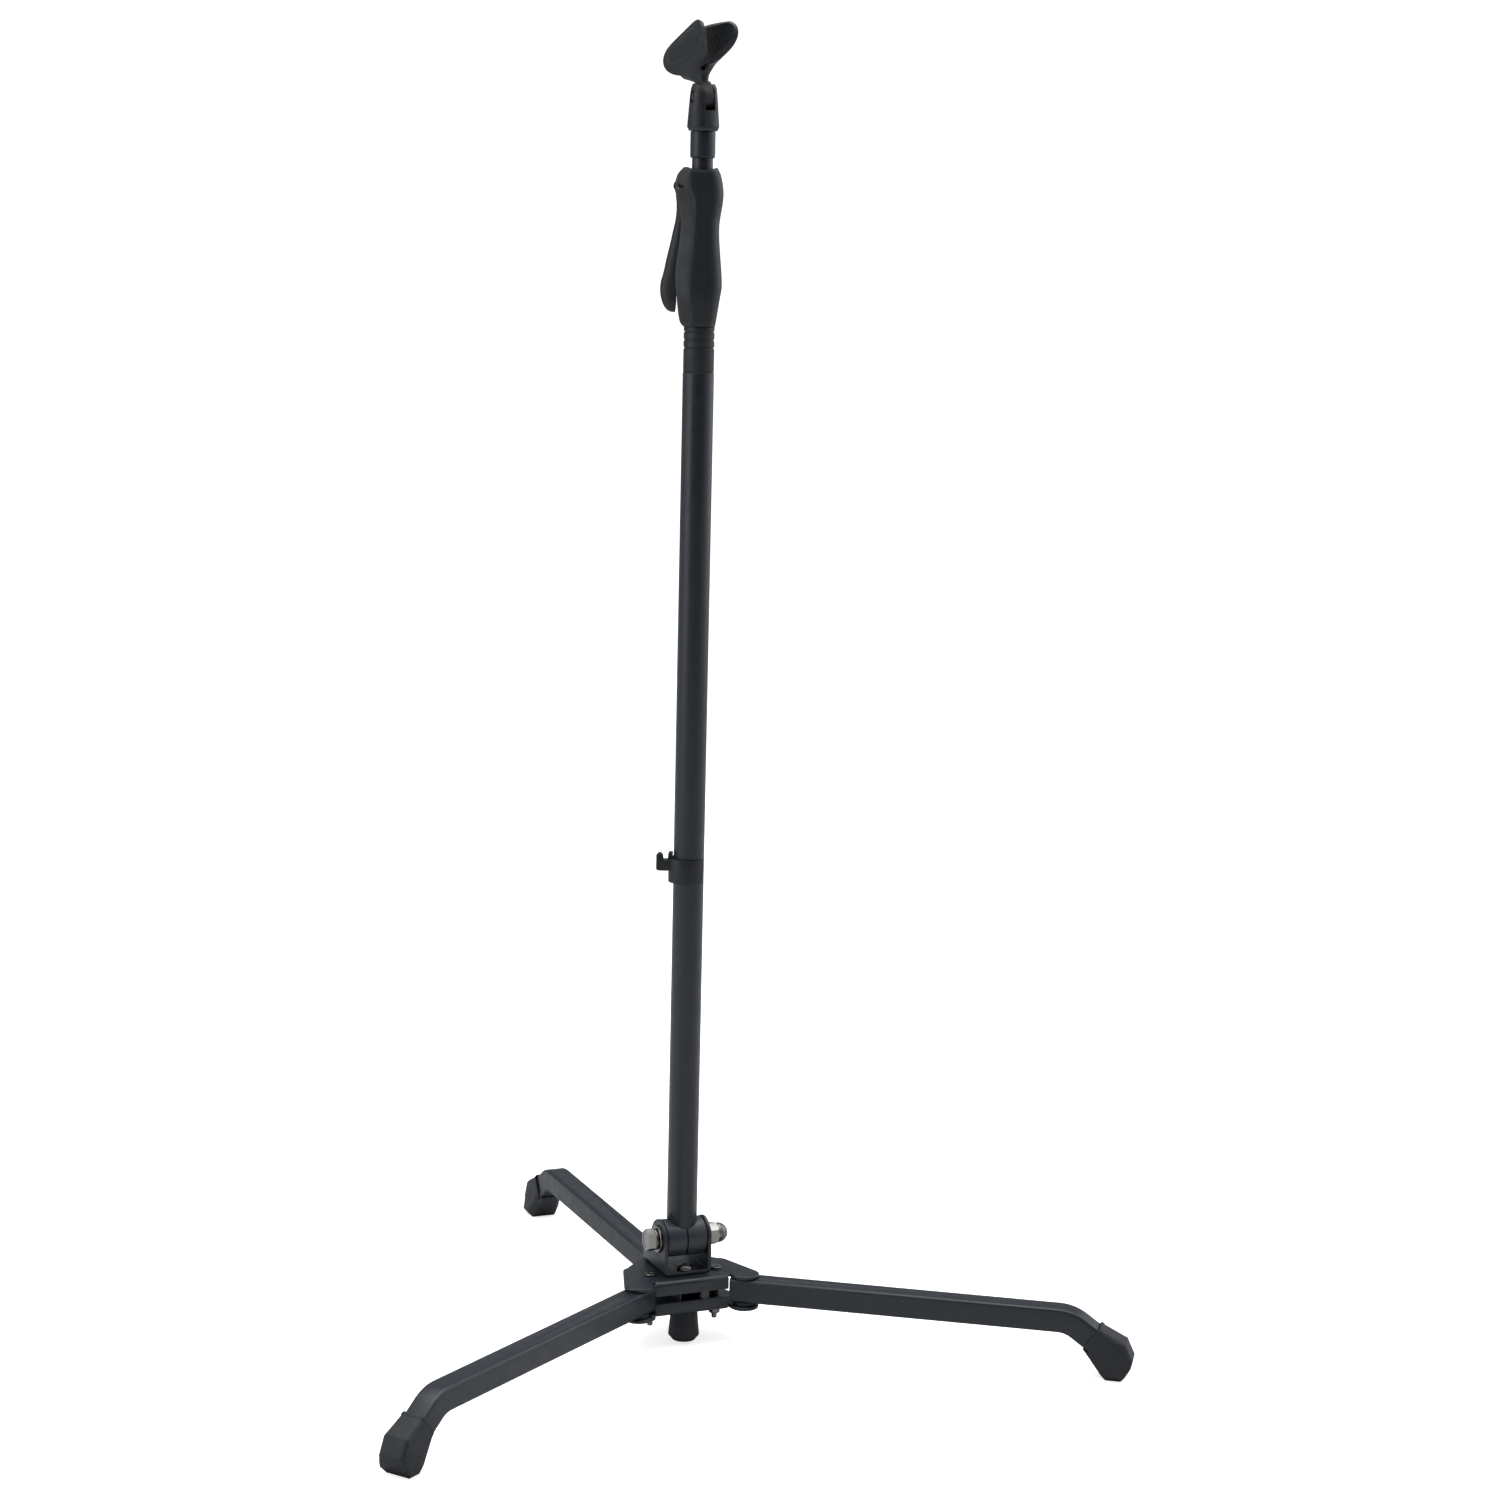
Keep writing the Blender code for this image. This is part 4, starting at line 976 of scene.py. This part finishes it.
def lever_section(height):
    """One level of the lever: flat towards the pole, domed outside, closing at the rounded lower end."""
    if height < LEVER_SWELL_Z:
        part = (LEVER_SWELL_Z - height) / (LEVER_SWELL_Z - LEVER_LOW)
        outside = LEVER_SWELL_U + LEVER_SWELL * sqrt(max(0.0, 1 - part ** 2))
    else:
        outside = reach_at(LEVER_OUTER, height)
    inside = reach_at(LEVER_INNER, height)
    closing = max(0.0, 1 - (height - LEVER_LOW) / 10)
    half = LEVER_HALF_WIDTH * sqrt(max(0.06, 1 - closing ** 2))
    points = [(inside, -half * 0.92, height), (inside + 0.6, -half, height)]
    for k in range(1, 24):
        angle = radians(-90 + 180 * k / 24)
        dome = inside + 1.2 + (outside - inside - 1.2) * cos(angle) ** 0.9
        points.append((dome, half * sin(angle), height))
    return points + [(inside + 0.6, half, height), (inside, half * 0.92, height)]


def make_lever():
    """Clutch lever: pivot boss, nose under the clutch plates, long domed finger piece with a swollen end."""
    pu, pz = LEVER_PIVOT.x, LEVER_PIVOT.z
    cant = radians(1.5)
    nose_top = PLATE_FULCRUM.z - (pu - 6.3 - PLATE_FULCRUM.x) * tan(cant) - GAP
    close = [LEVER_LOW + 0.25 * k ** 2 for k in range(8)]
    levels = close + [866.0 + 2.6 * k for k in range(30)]
    lever = solid("clutch_lever_look", loft([lever_section(z) for z in levels]))
    inner = [(14.0, 936.0), (10.6, 938.6), (10.6, nose_top), (12.4, nose_top)]
    boss = arc((pu, pz), 5.0, 205, -40, 24)
    add(lever, side_prism([(18.8, 936.0)] + inner + boss, -LEVER_HALF_WIDTH, LEVER_HALF_WIDTH))
    cut(lever, lever_pin_hole())
    round_edges(lever, 0.6, 3, 50)
    finish_piece(lever, GRIP_PLACE)


def make_grip():
    make_grip_half("grip_shell_front", 1)
    make_grip_half("grip_shell_rear", -1)
    for level, (u, z) in GRIP_SCREWS.items():
        make_grip_screw(level, u, z)
    make_lever()


# ---- cable clip

def make_cable_clip():
    """C-shaped clip on the outer tube, with a hook for the cable opposite its mouth."""
    low, high = span("cable_clip")
    bottom = low.z
    top = bottom + 19.5
    bore = OUTER_RADIUS + 0.15
    outer = []
    inner = []
    steps = 60
    for k in range(steps + 1):
        angle = radians(30 + 300 * k / steps)
        thick = 1.0 + 3.0 * (0.5 - 0.5 * cos(angle)) ** 1.5
        outer.append(((bore + thick) * cos(angle), (bore + thick) * sin(angle)))
        inner.append((bore * cos(angle), bore * sin(angle)))
    clip = solid("cable_clip_look", prism(outer + inner[::-1], bottom, top))
    floor = bottom + 9.3
    seat = bottom + 17.9
    lip = high.z - 2.8
    prong = high.z - 2.0
    hook = [(13.4, floor - 3), (15.5, floor), (24.4, floor)] + arc((24.4, floor + 2.2), 2.2, -60, 0, 6)
    hook += [(26.6, lip - 1.4)] + arc((23.65, lip - 3.9), 2.95, 20, 180, 14, 3.9)
    hook += [(20.7, seat), (17.2, seat), (17.0, prong - 3.2)] + arc((14.9, prong - 2.1), 2.1, 30, 90, 6)
    hook += [(13.0, prong)]
    add(clip, side_prism([(-u, z) for u, z in hook], -5, 5))
    round_edges(clip, 0.5, 3)
    finish_piece(clip, placed((0, 0, 0), GRIP_HEADING + pi))


# ---- microphone clip

CRADLE_HALF_WIDTH = 16.5
CRADLE_HALF_HEIGHT = 18.4
CRADLE_WALL = 2.8
CRADLE_CENTRE = (10.5, 38.0)
CRADLE_HALF_LENGTH = 32.0
CRADLE_LIP = radians(70)
CRADLE_LEAN = 1.5              # how far the cradle's upper edge stands behind its underside
CORNER_START = 0.85            # share of a wing's height where its rounded corners begin


def cradle_half_length(height):
    """Half the cradle's length at a height above its axis: an oval that keeps a root at the bottom."""
    part = max(0.0, 1 - (height / (CRADLE_HALF_HEIGHT + 0.3)) ** 2)
    rounding = 1 - 0.06 * smooth_step(height, 12.0, 17.4)
    return max(CRADLE_HALF_LENGTH * part ** 0.42 * rounding, 7.0)


def smooth_step(value, low, high):
    t = min(1.0, max(0.0, (value - low) / (high - low)))
    return t * t * (3 - 2 * t)


def wing_recess(along, up):
    """Depth of the shallow oval panel in a wing's outside; both arguments run from -1 to 1."""
    oval = hypot(along / 0.80, (up - 0.10) / 0.66)
    groove = 0.9 * smooth_step(0.10 - abs(oval - 0.95), 0.0, 0.08)
    return 0.7 * (1 - smooth_step(oval, 0.88, 0.98)) + groove


def wing_rib(along, up):
    """Height of the fine upright ribs and the band below them inside a wing."""
    ribs = max(0.0, sin(along * 40)) * smooth_step(0.42 - abs(along), 0, 0.06)
    ribs *= smooth_step(up, 0.02, 0.08) * smooth_step(0.48 - up, 0.0, 0.06)
    band = smooth_step(0.07 - abs(up + 0.20), -0.02, 0.05)
    return 0.35 * ribs + 0.6 * band


def cradle():
    """Open C-shaped trough for the microphone; x runs along it, z up, the pivot at the origin."""
    bm = bmesh.new()
    around = 120
    along = 72
    sheets = []
    for inner in (False, True):
        rows = []
        for i in range(around + 1):
            share = 2 * i / around - 1
            row = []
            for k in range(along + 1):
                t = 2 * k / along - 1
                # The wings' tops fall away towards both ends, more so at the front.
                fall = 0.10 * t ** 4 + 0.07 * t if t > 0 else 0.04 * t ** 4
                droop = 1 - fall * smooth_step(abs(share), 0.4, 1.0)
                angle = -pi / 2 - (pi / 2 + CRADLE_LIP) * share * droop
                height = CRADLE_HALF_HEIGHT * sin(angle)
                half = cradle_half_length(height)
                if t > 0:
                    half *= 1 - 0.05 * smooth_step(height, 4.0, 14.0)
                half *= 1 - 0.20 * max(0.0, (abs(share) - CORNER_START) / (1 - CORNER_START)) ** 2
                lean = CRADLE_LEAN * smooth_step(height, 0.0, 18.0)
                up = sin(angle) if abs(share) > 0.35 else -1
                if inner:
                    wall = CRADLE_WALL + wing_rib(t, up)
                else:
                    wall = wing_recess(t, up)
                z = CRADLE_CENTRE[1] + (CRADLE_HALF_HEIGHT - wall) * sin(angle)
                y = (CRADLE_HALF_WIDTH - wall) * cos(angle)
                row.append(bm.verts.new((CRADLE_CENTRE[0] + half * t - lean, y, z)))
            rows.append(row)
        sheets.append(rows)
    outer, inner = sheets
    for rows in sheets:
        for row, following in zip(rows, rows[1:]):
            strip(bm, row, following)
    for end in (0, along):
        strip(bm, [row[end] for row in outer], [row[end] for row in inner])
    for edge in (0, around):
        strip(bm, outer[edge], inner[edge])
    return bm


# Rings of the funnel between tongue and cradle: height, rear end, front end, half width.
NECK_RINGS = [(7.0, -3.4, 7.6, 4.2), (10.0, -3.4, 7.8, 4.2), (12.5, -4.0, 8.6, 4.4), (15.0, -5.4, 10.2, 5.0),
              (17.5, -8.6, 12.4, 6.6), (20.0, -12.0, 15.6, 8.4), (23.0, -16.5, 22.0, 10.6),
              (26.0, -19.5, 28.0, 12.4), (30.0, -20.5, 36.5, 14.0)]


def neck_funnel():
    """Widens smoothly from the tongue to the cradle's underside, hollowed by the cradle's own bore."""
    rings = []
    for height, rear, front, half in NECK_RINGS:
        middle = (rear + front) / 2
        reach = (front - rear) / 2
        ring = []
        for k in range(40):
            angle = 2 * pi * k / 40
            c, s = cos(angle), sin(angle)
            ring.append((middle + reach * abs(c) ** 0.85 * (1 if c > 0 else -1),
                         half * abs(s) ** 0.85 * (1 if s > 0 else -1), height))
        rings.append(ring)
    funnel = solid("funnel", loft(rings))
    bore = arc((0, CRADLE_CENTRE[1]), CRADLE_HALF_WIDTH - CRADLE_WALL + 0.2, 0, 356, 89,
               CRADLE_HALF_HEIGHT - CRADLE_WALL + 0.2)
    cut(funnel, cross_prism(bore, -60, 60))
    return mesh_of(funnel)


def make_mic_clip():
    """Cradle, funnel neck and tongue in one moulding, in the frame of the microphone's axis."""
    clip = solid("mic_clip_look", cradle())
    add(clip, neck_funnel())
    tongue = arc((0, 0), TONGUE_RADIUS, 165, 375, 36) + [(7.7, 10.0), (-3.3, 10.0)]
    add(clip, side_prism(tongue, -TONGUE_HALF, TONGUE_HALF))
    pocket = arc((-3.2, 20.2), 3.2, 0, 345, 23, 3.2)
    cut(clip, cross_prism(pocket, 7.2, 40))
    cut(clip, along_y(cylinder(CLIP_BOLT_HOLE, -20, 20)))
    round_edges(clip, 0.4, 3, 45)
    rotation = Euler((0, -CLIP_RISE, CLIP_HEADING), "XYZ").to_matrix().to_4x4()
    finish_piece(clip, Matrix.Translation((0, 0, CLIP_PIVOT_Z)) @ rotation, 30)


def make_clip_base():
    """Tapered swivel base: bore for the threaded insert below, slot and two round ears above."""
    low = CLIP_BASE_LOW
    ear_top = CLIP_PIVOT_Z + CLIP_EAR_RADIUS
    profile = [(0, low), (11.2, low), (12.1, low + 1.8)] + arc((11.7, low + 3.2), 1.0, -20, 10, 4)
    shoulder = CLIP_PIVOT_Z - 5.5
    profile += [(11.4, shoulder), (10.8, CLIP_PIVOT_Z + 1.5), (10.2, CLIP_PIVOT_Z + 6.5)]
    profile += [(8.0, ear_top + 2), (0, ear_top + 2)]
    base = solid("clip_base_look", turned(profile, 96))
    side = arc((0, CLIP_PIVOT_Z), CLIP_EAR_RADIUS, 0, 180, 40)
    waist = CLIP_PIVOT_Z - 11.5
    side = [(14, low - 5), (14, waist), (CLIP_EAR_RADIUS, shoulder)] + side
    side += [(-CLIP_EAR_RADIUS, shoulder), (-14, waist), (-14, low - 5)]
    keep(base, cross_prism(side, -20, 20))
    slot = TONGUE_HALF + GAP
    slot_floor = CLIP_PIVOT_Z - TONGUE_RADIUS - 2 * GAP
    cut(base, box((-slot, -20, slot_floor), (slot, 20, ear_top + 12)))
    cut(base, cylinder(9.8, low - 5, CLIP_PIVOT_Z - 16.5))
    hole = [(0, -20), (5.0, -20), (5.0, -8.0), (CLIP_BOLT_HOLE, -8.0)]
    hole += [(radius, -x) for radius, x in reversed(hole)]
    cut(base, shift(along_x(turned(hole)), (0, 0, CLIP_PIVOT_Z)))
    round_edges(base, 0.5, 3)
    finish_piece(base, placed((0, 0, 0), CLIP_HEADING + pi / 2))


# ---- carried-over CAD nodes

def dress_remaining_nodes():
    """Small inner parts keep their CAD shape and get rounded edges and a finish."""
    for name, node in frame["nodes"].items():
        if node.hide_render:
            continue
        node.data.materials.clear()
        node.data.materials.append(FINISHES[SLOT_OF[name]])
        node.modifiers.new("weld", "WELD").merge_threshold = 0.00001
        rounding = node.modifiers.new("rounding", "BEVEL")
        rounding.width = 0.12 * MM
        rounding.segments = 2
        rounding.limit_method = "ANGLE"
        rounding.angle_limit = radians(35)


# ---- stage

# The white sweep's own glow and the share of light it throws back; the room's glow at the sides and
# behind the camera.
PAPER_GLOW = 0.72
PAPER_BOUNCE = 0.60
SIDE_GLOW = 0.90
FRONT_GLOW = 0.03


def make_stage():
    """A pale sweep: floor, quarter-round cove and wall."""
    half = 7.0
    cove = 2.0
    back = 5.0
    line = [(-6.0, 0.0), (back - cove, 0.0)]
    line += [(back - cove + cove * sin(radians(a)), cove - cove * cos(radians(a))) for a in range(6, 91, 6)]
    line += [(back, 9.0)]
    bm = bmesh.new()
    rows = [[bm.verts.new((x, y, z)) for x in (-half, half)] for y, z in line]
    for row, following in zip(rows, rows[1:]):
        strip(bm, row, following)
    mesh = bpy.data.meshes.new("sweep")
    bm.to_mesh(mesh)
    bm.free()
    mesh.shade_smooth()
    sweep = new_object("sweep", mesh)
    mesh.materials.append(paper())


def show(nodes, links, seen, felt, output):
    """Gives the camera one shader and everything else another."""
    choice = nodes.new("ShaderNodeMixShader")
    links.new(nodes.new("ShaderNodeLightPath").outputs["Is Camera Ray"], choice.inputs[0])
    links.new(felt.outputs[0], choice.inputs[1])
    links.new(seen.outputs[0], choice.inputs[2])
    links.new(choice.outputs[0], nodes[output].inputs["Surface"])


def paper():
    """White paper: bright to the eye, but it throws less light back so that black parts keep their depth."""
    made = bpy.data.materials.new("paper")
    made.use_nodes = True
    nodes = made.node_tree.nodes
    links = made.node_tree.links
    seen = nodes["Principled BSDF"]
    set_inputs(seen, {"Base Color": (0.92, 0.92, 0.92, 1), "Roughness": 0.9, "Specular IOR Level": 0.1,
                      "Emission Color": (1, 1, 1, 1), "Emission Strength": PAPER_GLOW})
    reflected = nodes.new("ShaderNodeBsdfDiffuse")
    reflected.inputs["Color"].default_value = (PAPER_BOUNCE,) * 3 + (1,)
    show(nodes, links, seen, reflected, "Material Output")
    return made


def softbox(name, location, target, width, height, power):
    lamp = bpy.data.lights.new(name, "AREA")
    lamp.shape = "RECTANGLE"
    lamp.size = width
    lamp.size_y = height
    lamp.energy = power
    made = new_object(name, lamp)
    made.location = location
    made.rotation_euler = (Vector(target) - Vector(location)).to_track_quat("-Z", "Y").to_euler()


def make_lights():
    """A room bright to both sides and dark behind the camera, seen as plain white, and three soft boxes."""
    world = bpy.data.worlds.new("studio")
    bpy.context.scene.world = world
    world.use_nodes = True
    nodes = world.node_tree.nodes
    links = world.node_tree.links
    facing = nodes.new("ShaderNodeVectorMath")
    facing.operation = "DOT_PRODUCT"
    facing.inputs[1].default_value = (-sin(VIEW_HEADING), -cos(VIEW_HEADING), 0)
    links.new(nodes.new("ShaderNodeTexCoord").outputs["Generated"], facing.inputs[0])
    fade = nodes.new("ShaderNodeMapRange")
    fade.interpolation_type = "SMOOTHSTEP"
    set_inputs(fade, {"From Min": 0.10, "From Max": 0.80, "To Min": SIDE_GLOW, "To Max": FRONT_GLOW})
    links.new(facing.outputs["Value"], fade.inputs["Value"])
    background = nodes["Background"]
    background.inputs["Color"].default_value = (0.92, 0.965, 1.0, 1)
    links.new(fade.outputs["Result"], background.inputs["Strength"])
    seen = nodes.new("ShaderNodeBackground")
    seen.inputs["Color"].default_value = (1, 1, 1, 1)
    show(nodes, links, seen, background, "World Output")
    softbox("top_light", (0.0, 0.4, 3.4), (0, 0, 0.3), 3.4, 3.4, 85)
    softbox("left_light", (-2.8, -0.3, 1.4), (0, 0, 0.5), 1.4, 2.6, 18)
    softbox("right_light", (2.6, 0.2, 1.5), (0, 0, 0.5), 1.4, 2.6, 10)


# The camera's place round the pole in metres and radians, and its lens in millimetres.
VIEW_DISTANCE = 2.55749
VIEW_HEIGHT = 0.92792
VIEW_HEADING = 0.38235
VIEW_YAW = 0.01872
VIEW_PITCH = 0.16602
VIEW_ROLL = 0.0227
FOCAL_LENGTH = 76.734


def make_camera():
    camera = new_object("camera", bpy.data.cameras.new("camera"))
    stand_point = (-VIEW_DISTANCE * sin(VIEW_HEADING), -VIEW_DISTANCE * cos(VIEW_HEADING), VIEW_HEIGHT)
    camera.matrix_world = (
        Matrix.Translation(stand_point)
        @ Matrix.Rotation(-VIEW_YAW - VIEW_HEADING, 4, "Z")
        @ Matrix.Rotation(pi / 2 - VIEW_PITCH, 4, "X")
        @ Matrix.Rotation(VIEW_ROLL, 4, "Z")
    )
    camera.data.sensor_width = 36.0
    camera.data.lens = FOCAL_LENGTH
    camera.data.clip_end = 30.0
    bpy.context.scene.camera = camera


make_legs()
make_hub()
make_tilt_joint()
make_pole()
make_grip()
make_cable_clip()
make_mic_clip()
make_clip_base()
dress_remaining_nodes()
make_stage()
make_lights()
make_camera()
bpy.context.scene.view_settings.view_transform = "Standard"
